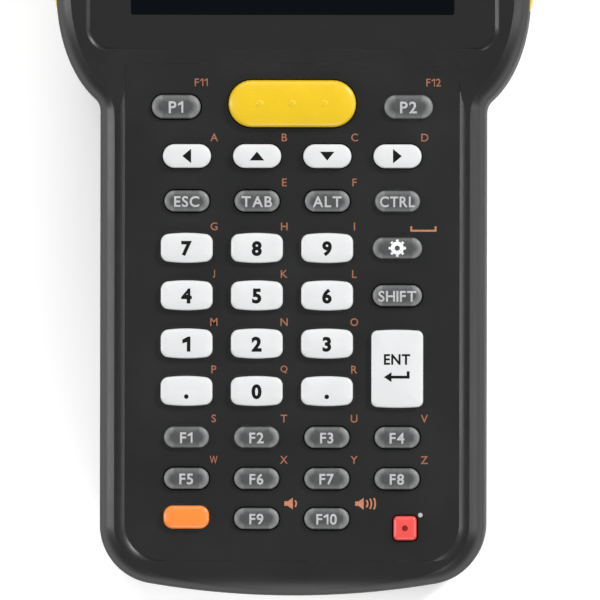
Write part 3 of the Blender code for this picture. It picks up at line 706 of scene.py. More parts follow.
def face_block():
    """What lies under the front face: a solid with a grid for its top, dense where the face dips."""
    xs = [-45 * MM, -34 * MM] + [i * MM for i in range(-33, 34)] + [34 * MM, 45 * MM]
    ys = [-110 * MM] + [i * MM / 2 for i in range(-202, -176)] + [-40 * MM]
    ys += [i * MM for i in range(-30, -4)] + [40 * MM, 110 * MM]
    bm = bmesh.new()
    top = [[bm.verts.new((x, y, FACE_Z - face_recess(x, y))) for x in xs] for y in ys]
    for lower, upper in zip(top, top[1:]):
        for i in range(len(xs) - 1):
            bm.faces.new((lower[i], lower[i + 1], upper[i + 1], upper[i]))
    rim = top[0] + [row[-1] for row in top[1:]] + top[-1][-2::-1] + [row[0] for row in top[-2:0:-1]]
    foot = [bm.verts.new((v.co.x, v.co.y, 10 * MM)) for v in rim]
    bridge(bm, [foot, rim])
    bm.faces.new(foot[::-1])
    return object_of("face_block", bm)


def flared_cutter(name, outline, low, flush_z, bevel, shown):
    """A recess whose wall leans back as a narrow bevel from flush_z to the face. shown says how much of the
    bevel there is at each point of its edge."""
    width, steep, gentle = bevel
    steps = 5
    profile = [(0.0, low), (0.0, flush_z)]
    reach, rise = 0.0, flush_z
    for i in range(steps):
        lean = math.radians(steep + (gentle - steep) * i / (steps - 1))
        reach += width / steps
        rise += width / steps * math.tan(lean)
        profile.append((-reach, rise))
    profile.append((-reach * 1.2, FACE_Z + 3 * MM))
    amounts = [shown(x, y) for x, y in outline]
    rings = []
    for distance, z in profile:
        rings.append([(x, y, z) for x, y in inset(outline, [distance * amount for amount in amounts])])
    return lofts(name, [rings])


def subdivided(outline, longest):
    """An outline with its long edges cut up."""
    points = []
    for i, (x, y) in enumerate(outline):
        bx, by = outline[(i + 1) % len(outline)]
        parts = max(1, math.ceil(math.hypot(bx - x, by - y) / longest))
        points += [(x + (bx - x) * k / parts, y + (by - y) * k / parts) for k in range(parts)]
    return points


def keypad_outline():
    width = 2 * KEYPAD_HALF_WIDTH
    return rounded_rectangle(width, KEYPAD_LOW_Y, KEYPAD_HIGH_Y, KEYPAD_CORNER, 12, 0.6 * MM)


def glass_outline():
    low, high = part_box("display_window")
    return rounded_rectangle(high.x - low.x, low.y, high.y, GLASS_CORNER, 12)


def screw_places():
    """(x, y, foot) of each housing screw."""
    return [(*middle_of(screw).xy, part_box(screw)[0].z) for screw in SCREWS]


def head_cavity(name, low_y, low_radius, low_z, high_z):
    high_y = HALF_LENGTH - WALL - 0.4 * MM
    outline = rounded_rectangle(2 * (HALF_HEAD - WALL), low_y, high_y, low_radius, 4, 10 * MM)
    return prism(name, outline, low_z, high_z)


def grip_cavity(name, low_z, high_z):
    low_y = WALL + 1.6 * MM - HALF_LENGTH
    outline = rounded_rectangle(2 * (HALF_GRIP - WALL), low_y, 0, 8 * MM, 4, 2 * MM)
    return prism(name, outline, low_z, high_z)


def side_key_opening(name):
    low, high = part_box(name)
    side = 1 if high.x > 0 else -1
    gap = 0.22 * MM
    half_height = (high.z - low.z) / 2 + gap
    outline = rounded_rectangle(2 * half_height, low.y - gap, high.y + gap, 2.6 * MM, 6)
    opening = prism(name + "_opening", outline, -4 * MM, 6 * MM)
    turn = Matrix.Rotation(math.radians(90), 4, "Y")
    opening.data.transform(Matrix.Translation((side * HALF_HEAD, 0, (low.z + high.z) / 2)) @ turn)
    return opening


def make_front_housing(looks):
    profile = in_mm([(0.2, 0), (0.03, 0.12), (0, 0.3)], FRONT_LOW_Z)
    turn = math.acos(1 - BAND_WIDTH / BAND_RADIUS)
    band_low_z = FACE_Z - BAND_RADIUS * math.sin(turn)
    profile += [(distance, band_low_z + rise) for distance, rise in rounding(BAND_RADIUS, turn, 12)]
    profile.append((BAND_WIDTH + 0.12 * MM, FACE_Z + 0.02 * MM))
    housing = solid("front_shell", body_outline(), profile)
    combine(housing, [face_block()], "INTERSECT")

    def keypad_edge(x, y):
        """None of the keypad's bevel shows by the glass, nor in the middle of the grip's end."""
        below = (1 - smoothstep(19 * MM, 25 * MM, abs(x))) if y < -88 * MM else 0
        return (1 - smoothstep(-24 * MM, -17.5 * MM, y)) * (1 - below)

    def glass_edge(x, y):
        """All of the glass's bevel shows, but for the middle of its lower edge."""
        return smoothstep(28.4 * MM, 31 * MM, abs(x)) if y < -11.5 * MM else 1.0

    bezel_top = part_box("keypad_bezel")[1].z
    edge = subdivided(keypad_outline(), 2 * MM)
    keypad = flared_cutter("keypad", edge, POCKET_FLOOR_Z, bezel_top, KEYPAD_BEVEL, keypad_edge)
    low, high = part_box("display_window")
    edge = subdivided(inset(glass_outline(), -0.01 * MM), 2 * MM)
    glass = flared_cutter("glass", edge, low.z - 0.3 * MM, high.z, GLASS_BEVEL, glass_edge)
    low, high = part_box("display_module")
    module = inset(rounded_rectangle(high.x - low.x, low.y, high.y, 1.5 * MM, 4), -0.3 * MM)
    cut(
        housing,
        keypad,
        glass,
        prism("module_hole", module, HEAD_ROOF_Z - 1 * MM, FACE_Z),
        head_cavity("head_cavity", -13.8 * MM, 10 * MM, FRONT_LOW_Z - 3 * MM, HEAD_ROOF_Z),
        grip_cavity("grip_cavity", FRONT_LOW_Z - 3 * MM, POCKET_FLOOR_Z - 1.2 * MM),
        side_key_opening("side_key_left"),
        side_key_opening("side_key_right"),
        speaker_slots(),
        port_solid("port_recess", 0, -1.3 * MM, 2 * MM, 0.01 * MM),
    )
    bosses = [(x, y, BOSS_RADIUS, FRONT_LOW_Z, HEAD_ROOF_Z + 0.5 * MM) for x, y, _ in screw_places()]
    pilots = [(x, y, SCREW_HOLE_RADIUS, FRONT_LOW_Z - 3 * MM, 24 * MM) for x, y, _ in screw_places()]
    join(housing, posts("bosses", bosses))
    cut(housing, posts("pilots", pilots))
    return complete(housing, looks["body"], "body", "body_plastic", "front_housing", sharp=20)


def speaker_slots():
    """Five rounded slots over the speaker, and the hole for the status light."""
    y = middle_of("speaker").y
    slot = rounded_rectangle(1.2 * MM, -2 * MM, 2 * MM, 0.59 * MM, 6)
    openings = [([((i - 2) * 3 * MM + dx, y + dy) for dx, dy in slot], -6) for i in range(5)]
    openings.append((disc(1.4 * MM, middle_of("status_light").x, y, 32), -8))
    lip = [(0, -0.25), (-0.06, -0.1), (-0.25, 0.05)]
    cuts = [rings_of(outline, in_mm([(0, low)] + lip, FACE_Z)) for outline, low in openings]
    return lofts("speaker_slots", cuts)


def saddle_cutter():
    """The saddle's profile with rounded shoulders, drawn across the body."""
    shoulder = 6 * MM
    centre_z = SADDLE_DEPTH - SADDLE_RADIUS
    reach = math.sqrt((SADDLE_RADIUS + shoulder) ** 2 - (shoulder - centre_z) ** 2)
    lean = math.degrees(math.atan2(shoulder - centre_z, reach))
    top = arc((0, centre_z), SADDLE_RADIUS, 180 - lean, lean, 32)
    right = arc((reach, shoulder), shoulder, 180 + lean, 270, 10)[1:]
    left = [(-y, z) for y, z in reversed(right)]
    profile = left + top + right
    below = -5 * MM
    profile = [(left[0][0], below)] + profile + [(right[-1][0], below)]
    return lofts("saddle", [[[(x, SADDLE_Y + y, z) for y, z in profile] for x in (-60 * MM, 60 * MM)]])


def bay_outline(grow):
    low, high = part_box("battery_pack")
    radius = 3 * MM + grow
    return rounded_rectangle(high.x - low.x + 2 * grow, low.y - grow, high.y + grow, radius, 10)


def end_opening(name, node, corner, low_y, high_y):
    """A hole through an end wall, with a gap round a node that faces along Y."""
    low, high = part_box(node)
    gap = 0.25 * MM
    outline = rounded_rectangle(high.x - low.x + 2 * gap, low.z - gap, high.z + gap, corner)
    return stand_up(prism(name, outline, low_y, high_y))


def make_rear_housing(looks):
    lower_edge = [(3.3, 0), (2.5, 0.12), (1.75, 0.5), (1.1, 1.1), (0.62, 1.85), (0.34, 2.7), (0.2, 3.7)]
    wall = [(0.14, 5), (0.05, 11), (0, 15.9), (0.02, 16.2), (0.2, 16.4)]
    housing = solid("rear_shell", body_outline(), in_mm(lower_edge + wall))
    battery_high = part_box("battery_pack")[1]
    bay_roof = battery_high.z + 0.4 * MM
    over = REAR_HIGH_Z + 3 * MM
    bay_edge = in_mm([(-0.5, -0.4), (-0.32, 0.02), (-0.15, 0.14), (0, 0.4)])
    bay = solid("bay", bay_outline(0.35 * MM), bay_edge + [(0, bay_roof)])
    slot_y = (battery_high.y - 1 * MM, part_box("battery_latch")[1].y + 2.3 * MM)
    deep_y = SADDLE_Y + 22.5 * MM
    end_y = HALF_LENGTH + 4 * MM
    cut(
        housing,
        saddle_cutter(),
        bay,
        block("latch_slot", (-8.3 * MM, slot_y[0], -3 * MM), (8.3 * MM, slot_y[1], 4 * MM)),
        block("latch_grooves", (-9.8 * MM, slot_y[0], 1.8 * MM), (9.8 * MM, slot_y[1], 4.01 * MM)),
        end_opening("scan_hole", "scan_window", 1.7 * MM, HALF_LENGTH - 4 * MM, end_y),
        end_opening("dock_hole", "dock_connector", 1.4 * MM, -end_y, 4.1 * MM - HALF_LENGTH),
        grip_cavity("grip_cavity", bay_roof + 2 * MM, over),
        head_cavity("head_cavity", -13.8 * MM, 10 * MM, SADDLE_DEPTH + 2.7 * MM, over),
        head_cavity("deep_cavity", deep_y, 3 * MM, WALL, over),
    )
    label_edge = in_mm([(-0.15, -1), (-0.1, 0), (0, 0.12), (0.02, 0.3)])
    cut(housing, grip_grooves(), solid("label_recess", label_outline(0), label_edge))
    pillars = [(x, y, POST_RADIUS, foot + 0.3 * MM, REAR_HIGH_Z) for x, y, foot in screw_places()]
    heads = [(x, y, SCREW_HEAD_HOLE_RADIUS, -3 * MM, foot + 2.1 * MM) for x, y, foot in screw_places()]
    shafts = [(x, y, SCREW_HOLE_RADIUS, -3 * MM, over) for x, y, _ in screw_places()]
    join(housing, posts("posts", pillars))
    cut(housing, posts("head_holes", heads), posts("shaft_holes", shafts))
    return complete(housing, looks["body"], "body", "body_plastic", "rear_housing")


def grip_grooves():
    """Rows of short upright grooves in both sides of the grip."""
    groove = rounded_rectangle(1.2 * MM, 8.2 * MM, 14.4 * MM, 0.59 * MM, 6)
    profile = in_mm([(0.25, -0.4), (0.06, -0.28), (0, 0), (-0.14, 0.12), (-0.2, 1)], HALF_GRIP)
    rings = rings_of(groove, profile)
    grooves = []
    for side in (-1, 1):
        for i in range(GRIP_GROOVES):
            y = GRIP_GROOVE_START_Y + i * GRIP_GROOVE_PITCH
            placed = [[(side * out, y + side * along, z) for along, z, out in ring] for ring in rings]
            grooves.append(placed)
    return lofts("grip_grooves", grooves)


def label_outline(gap):
    width = LABEL_WIDTH - 2 * gap
    return rounded_rectangle(width, LABEL_LOW_Y + gap, LABEL_HIGH_Y - gap, LABEL_CORNER - gap)


def make_label(looks):
    """A plain satin plate in the back's recess."""
    label = solid("back_plate", label_outline(LABEL_GAP), in_mm([(0.1, 0.1), (0, 0.16), (0, 0.6)]))
    return complete(label, looks["label"], "body", "latch_plastic")


def port_solid(name, grow, low, high, edge):
    """A solid of the port cover's shape, from a depth in the head's left wall to a height over it."""
    width = 2 * (PORT_HALF_WIDTH + grow)
    outline = rounded_rectangle(width, PORT_LOW_Y - grow, PORT_HIGH_Y + grow, PORT_CORNER + grow)
    profile = [(0, low), (0, high - edge), (0.3 * edge, high - 0.3 * edge), (edge, high)]
    cover = solid(name, outline, profile)
    turn = Matrix(((0, 0, -1, -HALF_HEAD), (0, 1, 0, 0), (1, 0, 0, PORT_Z), (0, 0, 0, 1)))
    cover.data.transform(turn)
    return cover


def make_port_cover(looks):
    """A rubber cover over a charging port, with a finger notch at its lower end."""
    cover = port_solid("port_cover", -0.12 * MM, -1.2 * MM, 0.12 * MM, 0.3 * MM)
    notch = port_solid("notch", -1.2 * MM, -0.35 * MM, 2 * MM, 0.05 * MM)
    notch.data.transform(Matrix.Translation((0, -14 * MM, 0)))
    cut(cover, notch)
    return complete(cover, looks["rubber"], "body", "seal_rubber")


def make_seal(looks):
    """The gasket line between the housings."""
    low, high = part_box("housing_seal")
    low_z = low.z - 0.25 * MM
    high_z = high.z + 0.25 * MM
    outer = 0.5 * MM
    inner = 1.6 * MM
    profile = [(outer, low_z), (0.42 * MM, (low_z + high_z) / 2), (outer, high_z)]
    profile += [(inner, high_z), (inner, low_z)]
    bm = bmesh.new()
    loops = [[bm.verts.new(point) for point in ring] for ring in rings_of(body_outline(), profile)]
    bridge(bm, loops + loops[:1])
    return complete(object_of("seal_ring", bm), looks["rubber"], "body", "seal_rubber", "housing_seal")


# ---------------------------------------------------------------- display


def make_display(looks):
    """The cover glass: a printed border round the clear part over the display."""
    low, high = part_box("display_window")
    edge = 0.02 * MM
    profile = [(edge, low.z), (0, low.z + edge), (0, high.z - edge), (edge, high.z)]
    border = solid("window_border", glass_outline(), profile)
    screen = rounded_rectangle(2 * SCREEN_HALF_WIDTH, SCREEN_LOW_Y, SCREEN_HIGH_Y, 0.4 * MM, 4)
    cut(border, prism("screen_hole", screen, low.z + 0.3 * MM, high.z + 1 * MM))
    complete(border, looks["window_border"], "body", "touch_glass", "display_window")
    profile = [(0, low.z + 0.35 * MM)] + in_mm([(0, -0.012), (0.01, -0.004)], high.z)
    pane = solid("window_pane", inset(screen, 0.005 * MM), profile)
    return complete(pane, looks["screen"], "body", "touch_glass")


# ---------------------------------------------------------------- legends


def add_curve(marks, curve, place=(0, 0)):
    """Adds a curve's or text's filled mesh to the marks."""
    guide = new_object("guide", curve)
    graph = bpy.context.evaluated_depsgraph_get()
    mesh = bpy.data.meshes.new_from_object(guide.evaluated_get(graph))
    mesh.transform(Matrix.Translation((*place, 0)))
    marks.from_mesh(mesh)
    bpy.data.objects.remove(guide)
    bpy.data.meshes.remove(mesh)


def plate(outlines):
    """A thin filled curve. The first outline is its edge; later ones inside it are holes."""
    curve = bpy.data.curves.new("plate", "CURVE")
    curve.dimensions = "2D"
    curve.fill_mode = "BOTH"
    curve.extrude = INK / 2
    for outline in outlines:
        spline = curve.splines.new("POLY")
        spline.points.add(len(outline) - 1)
        for point, (x, y) in zip(spline.points, outline):
            point.co = (x, y, 0, 1)
        spline.use_cyclic_u = True
    return curve


def numeral_one(height, stroke):
    """The built-in font's 1 is a bare bar, so this one has a flag."""
    right = 0.3 * height + stroke
    left = right - stroke
    flag_top = 0.8 * height
    flag_low = flag_top - 1.1 * stroke
    outline = [(left, 0), (right, 0), (right, height), (left + 0.3 * stroke, height)]
    return plate([outline + [(0, flag_top), (0, flag_low), (left, flag_low + 0.35 * left)]])


def word_marks(words, height, widest, bold):
    """Closed thin letters about the origin, their strokes thickened by bold on each side."""
    marks = bmesh.new()
    cursor = 0
    for letter in words:
        if letter == "1":
            curve = numeral_one(height, 0.11 * height + 2 * bold)
        else:
            curve = bpy.data.curves.new("letter", "FONT")
            curve.body = letter
            curve.size = height / CAP_HEIGHT
            curve.extrude = INK / 2
            curve.offset = bold
            curve.resolution_u = 4
        glyph = bmesh.new()
        add_curve(glyph, curve)
        low_x = min(v.co.x for v in glyph.verts)
        high_x = max(v.co.x for v in glyph.verts)
        bmesh.ops.translate(glyph, verts=glyph.verts, vec=(cursor - low_x, 0, 0))
        cursor += high_x - low_x + LETTER_GAP * height
        append(marks, glyph)
    bmesh.ops.remove_doubles(marks, verts=marks.verts, dist=0.0005 * MM)
    low = [min(v.co[k] for v in marks.verts) for k in (0, 1)]
    high = [max(v.co[k] for v in marks.verts) for k in (0, 1)]
    bmesh.ops.translate(marks, verts=marks.verts, vec=(-(low[0] + high[0]) / 2, -(low[1] + high[1]) / 2, 0))
    tall = height / (high[1] - low[1])
    wide = min(tall, widest / (high[0] - low[0]))
    bmesh.ops.scale(marks, verts=marks.verts, vec=(wide, tall, 1))
    return marks


def append(bm, other, place=(0, 0, 0), slot=0):
    """Moves another bmesh's geometry into bm, at a place and with a material slot, and frees it."""
    bmesh.ops.translate(other, verts=other.verts, vec=place)
    for face in other.faces:
        face.material_index = slot
    mesh = bpy.data.meshes.new("moved")
    other.to_mesh(mesh)
    other.free()
    bm.from_mesh(mesh)
    bpy.data.meshes.remove(mesh)


def disc(radius, x=0.0, y=0.0, sides=24):
    angles = [math.tau * i / sides for i in range(sides)]
    return [(x + radius * math.cos(a), y + radius * math.sin(a)) for a in angles]


def strip(points, width):
    """The outline of a bent line of a given width."""
    sides = ([], [])
    for i, (x, y) in enumerate(points):
        ax, ay = points[max(0, i - 1)]
        bx, by = points[min(len(points) - 1, i + 1)]
        length = math.hypot(bx - ax, by - ay)
        nx, ny = (ay - by) / length, (bx - ax) / length
        sides[0].append((x + nx * width / 2, y + ny * width / 2))
        sides[1].append((x - nx * width / 2, y - ny * width / 2))
    return sides[1] + sides[0][::-1]


def symbol_outlines(name):
    """Closed outlines in millimetres about the symbol's middle. Each inner list is a plate with holes."""
    if name == "left":
        return [[[(-0.7, 0), (0.7, -1.15), (0.7, 1.15)]]]
    if name == "right":
        return [[[(0.7, 0), (-0.7, 1.15), (-0.7, -1.15)]]]
    if name == "up":
        return [[[(0, 0.7), (-1.15, -0.7), (1.15, -0.7)]]]
    if name == "down":
        return [[[(0, -0.7), (1.15, 0.7), (-1.15, 0.7)]]]
    if name == "dot":
        return [[disc(0.36)]]
    if name == "enter":
        line = [(-1.2, -0.2), (2, -0.2), (2, 0.95), (1.55, 0.95), (1.55, 0.25), (-1.2, 0.25)]
        return [[line], [[(-2.1, 0.02), (-0.9, -0.75), (-0.9, 0.8)]]]
    if name == "sun":
        ray = [(1.06, -0.2), (1.38, -0.2), (1.38, 0.2), (1.06, 0.2)]
        turns = [Matrix.Rotation(math.tau * i / 8, 2) for i in range(8)]
        ring = [[disc(1.05), disc(0.42)]]
        return ring + [[[tuple(turn @ Vector(corner)) for corner in ray]] for turn in turns]
    if name == "space":
        right = [(2.1, -0.4), (2.1, 0.45), (1.8, 0.45), (1.8, -0.1)]
        return [[right + [(-x, y) for x, y in reversed(right)]]]
    if name in ("quiet", "loud"):
        horn = [(-1.35, -0.36), (-0.8, -0.36), (0, -0.95), (0, 0.95), (-0.8, 0.36), (-1.35, 0.36)]
        waves = [(0.75, 42)] if name == "quiet" else [(0.85, 42), (1.45, 34), (2.05, 26)]
        return [[horn]] + [[strip(arc((-0.2, 0), radius, -lean, lean, 6), 0.26)] for radius, lean in waves]
    raise ValueError(name)


def symbol_marks(name, size=1.0):
    marks = bmesh.new()
    scale = size * MM
    for outlines in symbol_outlines(name):
        add_curve(marks, plate([[(x * scale, y * scale) for x, y in outline] for outline in outlines]))
    bmesh.ops.remove_doubles(marks, verts=marks.verts, dist=0.0005 * MM)
    return marks


# ---------------------------------------------------------------- keys


def cap_outline(width, height, radius, bow, distance):
    """A cap's outline about the origin, drawn in by a distance, its long edges bowed outwards."""
    width -= 2 * distance
    half = height / 2 - bow - distance
    corner = max(radius - distance, 0.12 * MM)
    corner = min(corner, half - 0.005 * MM, width / 2 - 0.005 * MM)
    points = rounded_rectangle(width, -half, half, corner)
    flat = width / 2 - corner
    long_edge = [(flat * (1 - 2 * i / 10), half) for i in range(1, 10)]
    points[18:18] = long_edge
    points += [(-x, -y) for x, y in long_edge]
    if not bow:
        return points
    return [(x, y + math.copysign(bow * (1 - (2 * x / width) ** 2), y)) for x, y in points]


def cap_mesh(shape, low, high):
    """A key cap about the origin, with a rounded edge and a low crown. Its attribute rim carries a painted
    highlight:
    how much lighter its ends are drawn, 1 at both ends and 0 inside."""
    width, height, radius, bow, edge, crown, _ = KEY_SHAPES[shape]
    wall_z = high - crown - edge
    rings = [(0.0, low, 1.0)]
    rings += [(distance, wall_z + rise, 1.0) for distance, rise in rounding(edge, math.radians(72), 5)]
    start, start_z, _ = rings[-1]
    inner = min(height / 2 - bow, width / 2) * 0.93
    for i in range(1, 9):
        t = i / 8
        distance = start + (inner - start) * t
        z = start_z + (high - start_z) * (1 - (1 - t) ** 2.2)
        rings.append((distance, z, max(0.0, 1 - 1.5 * t)))
    bm = bmesh.new()
    # the attribute rim holds the painted highlight on the cap's ends
    rim = bm.verts.layers.float.new("rim")
    loops = []
    flat = width / 2 - radius
    outer = cap_outline(width, height, radius, bow, 0)
    # how strongly the painted highlight shows along the outline: full at the ends, 0.3 along the long edges
    lit_ends = [smoothstep(flat - 0.3 * MM, flat + 0.5 * MM, abs(x)) for x, _ in outer]
    for distance, z, amount in rings:
        loop = [bm.verts.new((x, y, z)) for x, y in cap_outline(width, height, radius, bow, distance)]
        for vertex, end in zip(loop, lit_ends):
            vertex[rim] = amount * max(0.3, end)
        loops.append(loop)
    bridge(bm, loops)
    bm.faces.new(loops[0][::-1])
    bm.faces.new(loops[-1])
    for face in bm.faces:
        face.smooth = True
    return bm


def surface_z(tree, x, y):
    """The height of the cap's surface over a place."""
    return tree.ray_cast(Vector((x, y, 0.2)), Vector((0, 0, -1)))[0].z


def drape(marks, tree):
    """Cuts flat marks up finely and lays them on the surface under them."""
    step = 0.45 * MM
    for axis in (0, 1):
        normal = Vector((1 - axis, axis, 0))
        count = int(max(abs(v.co[axis]) for v in marks.verts) / step)
        for i in range(-count, count + 1):
            geometry = marks.verts[:] + marks.edges[:] + marks.faces[:]
            bmesh.ops.bisect_plane(marks, geom=geometry, plane_co=normal * i * step, plane_no=normal)
    for vertex in marks.verts:
        vertex.co.z += surface_z(tree, vertex.co.x, vertex.co.y) - INK * 0.2


def key_marks(name):
    """A key's legend as a list of (marks, place on the cap)."""
    shape, words, _ = KEYS[name]
    if words:
        bold = 0.15 * MM if shape == "digit" else 0.05 * MM
        widest = LEGEND_WIDTHS.get(words, LEGEND_WIDTH)
        return [(word_marks(words, LEGEND_HEIGHTS[shape], widest, bold), (0, -0.1 * MM))]
    if name in ("comma", "point"):
        return [(symbol_marks("dot"), (0, -0.9 * MM))]
    if name == "enter":
        return [
            (word_marks("ENT", 1.7 * MM, 4.2 * MM, 0.06 * MM), (0, 1.5 * MM)),
            (symbol_marks("enter"), (0, -1.35 * MM)),
        ]
    if name == "backlight":
        return [(symbol_marks("sun"), (0, 0))]
    if name == "power":
        return [(symbol_marks("dot", 1.3), (0, 0))]
    return [(symbol_marks(name), (0, 0))] if shape == "arrow" else []


def make_key(name, looks):
    kind = KEY_SHAPES[KEYS[name][0]][-1]
    low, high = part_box("key_" + name)
    bm = cap_mesh(KEYS[name][0], low.z, high.z)
    tree = BVHTree.FromBMesh(bm)
    for marks, place in key_marks(name):
        bmesh.ops.translate(marks, verts=marks.verts, vec=(*place, 0))
        drape(marks, tree)
        append(bm, marks, slot=1)
    if name == "scan":
        for i in (-1, 0, 1):
            add_stud(bm, i * 5.2 * MM, tree)
    bmesh.ops.translate(bm, verts=bm.verts, vec=beside_key(name, 0, 0, 0))
    mesh = bpy.data.meshes.new("cap_" + name)
    bm.to_mesh(mesh)
    bm.free()
    mesh.set_sharp_from_angle(angle=math.radians(50))
    cap = new_object("cap_" + name, mesh)
    ink = {"grey": "white_ink", "red": "dark_ink"}.get(kind, "black_ink")
    if name == "backlight":
        ink = "bright_ink"
    dress(cap, looks[kind + "_key"], looks[ink])
    return put(cap, "key_" + name, kind + "_key", "key_" + name)


def add_stud(bm, x, tree):
    """A low round stud on the cap's crown."""
    radius = 0.62 * MM
    height = 0.18 * MM
    foot = surface_z(tree, x, 0) - 0.05 * MM
    loops = []
    for distance, rise in rounding(1, math.pi / 2, 6)[:-1]:
        ring = disc(radius * (1 - distance), x)
        loops.append([bm.verts.new((px, py, foot + height * rise)) for px, py in ring])
    for face in bridge(bm, loops) + [bm.faces.new(loops[-1])]:
        face.smooth = True
    bm.faces.new(loops[0][::-1])


# ---------------------------------------------------------------- keypad bezel


def make_bezel(looks):
    """The plate round the keys, with a rounded edge and a hole for each key."""
    low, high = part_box("keypad_bezel")
    plate_low = high.z - 1.4 * MM
    outline = subdivided(keypad_outline(), 2 * MM)
    gap = 0.02 * MM
    bezel = solid("bezel_plate", outline, [(gap, low.z), (gap, high.z - gap), (2 * gap, high.z)])
    holes = []
    for name, (shape, _, _) in KEYS.items():
        width, height, radius, bow = KEY_SHAPES[shape][:4]
        centre = middle_of("key_" + name)
        rings = []
        for grow, z in in_mm([(0.16, -4), (0.16, -0.14), (0.2, -0.04), (0.3, 0.02)], high.z):
            ring = cap_outline(width + 2 * grow, height + 2 * grow, radius + grow, bow, 0)
            rings.append([(centre.x + x, centre.y + y, z) for x, y in ring])
        holes.append(rings)
    hollow = prism("hollow", inset(outline, 1.2 * MM), low.z - 1 * MM, plate_low)
    cut(bezel, hollow, lofts("key_holes", holes))
    complete(bezel, looks["body"], "body", "bezel_plastic", "keypad_bezel", sharp=20)
    return make_bezel_legends(high.z, looks)


def make_bezel_legends(top, looks):
    """What is printed on the bezel: a small letter over each key's right end, and a few symbols."""
    bm = bmesh.new()
    z = top - 0.3 * INK
    for name, (shape, _, letter) in KEYS.items():
        if letter:
            shift, rise, widest = SMALL_LETTER_PLACES[shape]
            marks = word_marks(letter, SMALL_LETTER_HEIGHT, widest, 0.02 * MM)
            append(bm, marks, beside_key(name, shift, rise, z))
    for symbol, name, shift, rise, ink in BEZEL_SYMBOLS:
        append(bm, symbol_marks(symbol), beside_key(name, shift, rise, z), ink)
    legends = object_of("bezel_legends", bm)
    dress(legends, looks["letter_ink"], looks["symbol_ink"], looks["white_ink"])
    return put(legends, "body", "bezel_plastic")


def beside_key(name, shift, rise, z):
    """A place given from a key's centre in plan."""
    centre = middle_of("key_" + name)
    return centre.x + shift, centre.y + rise, z


# ---------------------------------------------------------------- side keys, battery, latch, screws, ports


def arch(cap, low_z, half_length):
    """Bends a cap's face into a long low arch, which falls towards both ends."""
    bm = bmesh.new()
    bm.from_mesh(cap.data)
    strips = 36
    for i in range(1, strips):
        geometry = bm.verts[:] + bm.edges[:] + bm.faces[:]
        place = (0, half_length * (2 * i / strips - 1), 0)
        bmesh.ops.bisect_plane(bm, geom=geometry, plane_co=place, plane_no=(0, 1, 0))
    for vertex in bm.verts:
        if vertex.co.z > low_z:
            vertex.co.z -= SIDE_KEY_ARCH * (vertex.co.y / half_length) ** 2
    bmesh.ops.triangulate(bm, faces=[face for face in bm.faces if len(face.verts) > 4])
    bm.to_mesh(cap.data)
    bm.free()


def bars(name, places, length, half_width, corner, steps, profile):
    """Round-ended bars along X in one object, one at each Y."""
    outlines = [rounded_rectangle(length, y - half_width, y + half_width, corner, steps) for y in places]
    return lofts(name, [rings_of(outline, profile) for outline in outlines])


def make_side_key(name, looks):
    """A long arched cap with a rounded edge and five grip ribs across its middle."""
    low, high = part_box(name)
    side = 1 if high.x > 0 else -1
    depth = high.x - low.x
    middle = middle_of(name)
    height = high.z - low.z
    half_length = high.y - middle.y
    outline = rounded_rectangle(height, -half_length, half_length, 2.4 * MM)
    wall = depth - 1.05 * SIDE_KEY_EDGE
    profile = [(0.0, 0.0)]
    profile += [(distance, wall + rise) for distance, rise in rounding(SIDE_KEY_EDGE, math.pi / 2, 6)]
    profile += [(1.6 * MM, depth - 0.02 * SIDE_KEY_EDGE), (2.3 * MM, depth)]
    cap = solid(name + "_cap", outline, profile)
    arch(cap, depth - 1.1 * SIDE_KEY_EDGE, half_length)
    places = [(i - 2) * 1.5 * MM for i in range(5)]
    groove_profile = in_mm([(0.12, -0.2), (0, -0.08), (-0.1, 1)], depth)
    cut(cap, bars("grooves", places, height - 2.4 * MM, 0.3 * MM, 0.29 * MM, 4, groove_profile))
    inner_x = low.x if side > 0 else high.x
    turn = Matrix(((0, 0, side, inner_x), (0, 1, 0, middle.y), (-side, 0, 0, middle.z), (0, 0, 0, 1)))
    cap.data.transform(turn)
    return complete(cap, looks["yellow_key"], name, "yellow_key", name)


def make_battery(looks):
    """The pack's cover, with a shallow panel and a row of finger grooves by the latch."""
    low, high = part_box("battery_pack")
    lean = 1.2 * MM

    def leaning(x, y, z):
        """The pack's upper end leans back, so that it clears the bay as it swings."""
        along = max(0.0, (y - low.y) / (high.y - low.y))
        return x, y - lean * along * (z - low.z) / (high.z - low.z), z

    edge = 1 * MM
    profile = [(d, low.z + edge - rise) for d, rise in reversed(rounding(edge, math.pi / 2, 5))]
    profile += [(0, high.z - 0.4 * MM), (0.3 * MM, high.z)]
    rings = [[leaning(*point) for point in ring] for ring in rings_of(bay_outline(0), profile)]
    pack = lofts("battery_case", [rings])
    places = [high.y - (8 + 2.2 * i) * MM for i in range(6)]
    groove_profile = in_mm([(-0.2, -1), (-0.12, 0), (0, 0.2), (0.25, 0.45)], low.z)
    grooves = bars("grooves", places, 30 * MM, 0.5 * MM, 0.48 * MM, 6, groove_profile)
    panel = rounded_rectangle(44 * MM, low.y + 8 * MM, high.y - 25 * MM, 2 * MM)
    recess = solid("panel", panel, in_mm([(-0.15, -1), (-0.1, 0), (0, 0.12), (0.05, 0.2)], low.z))
    cut(pack, grooves, recess)
    return complete(pack, looks["battery"], "battery_pack", "battery_plastic", "battery_pack")


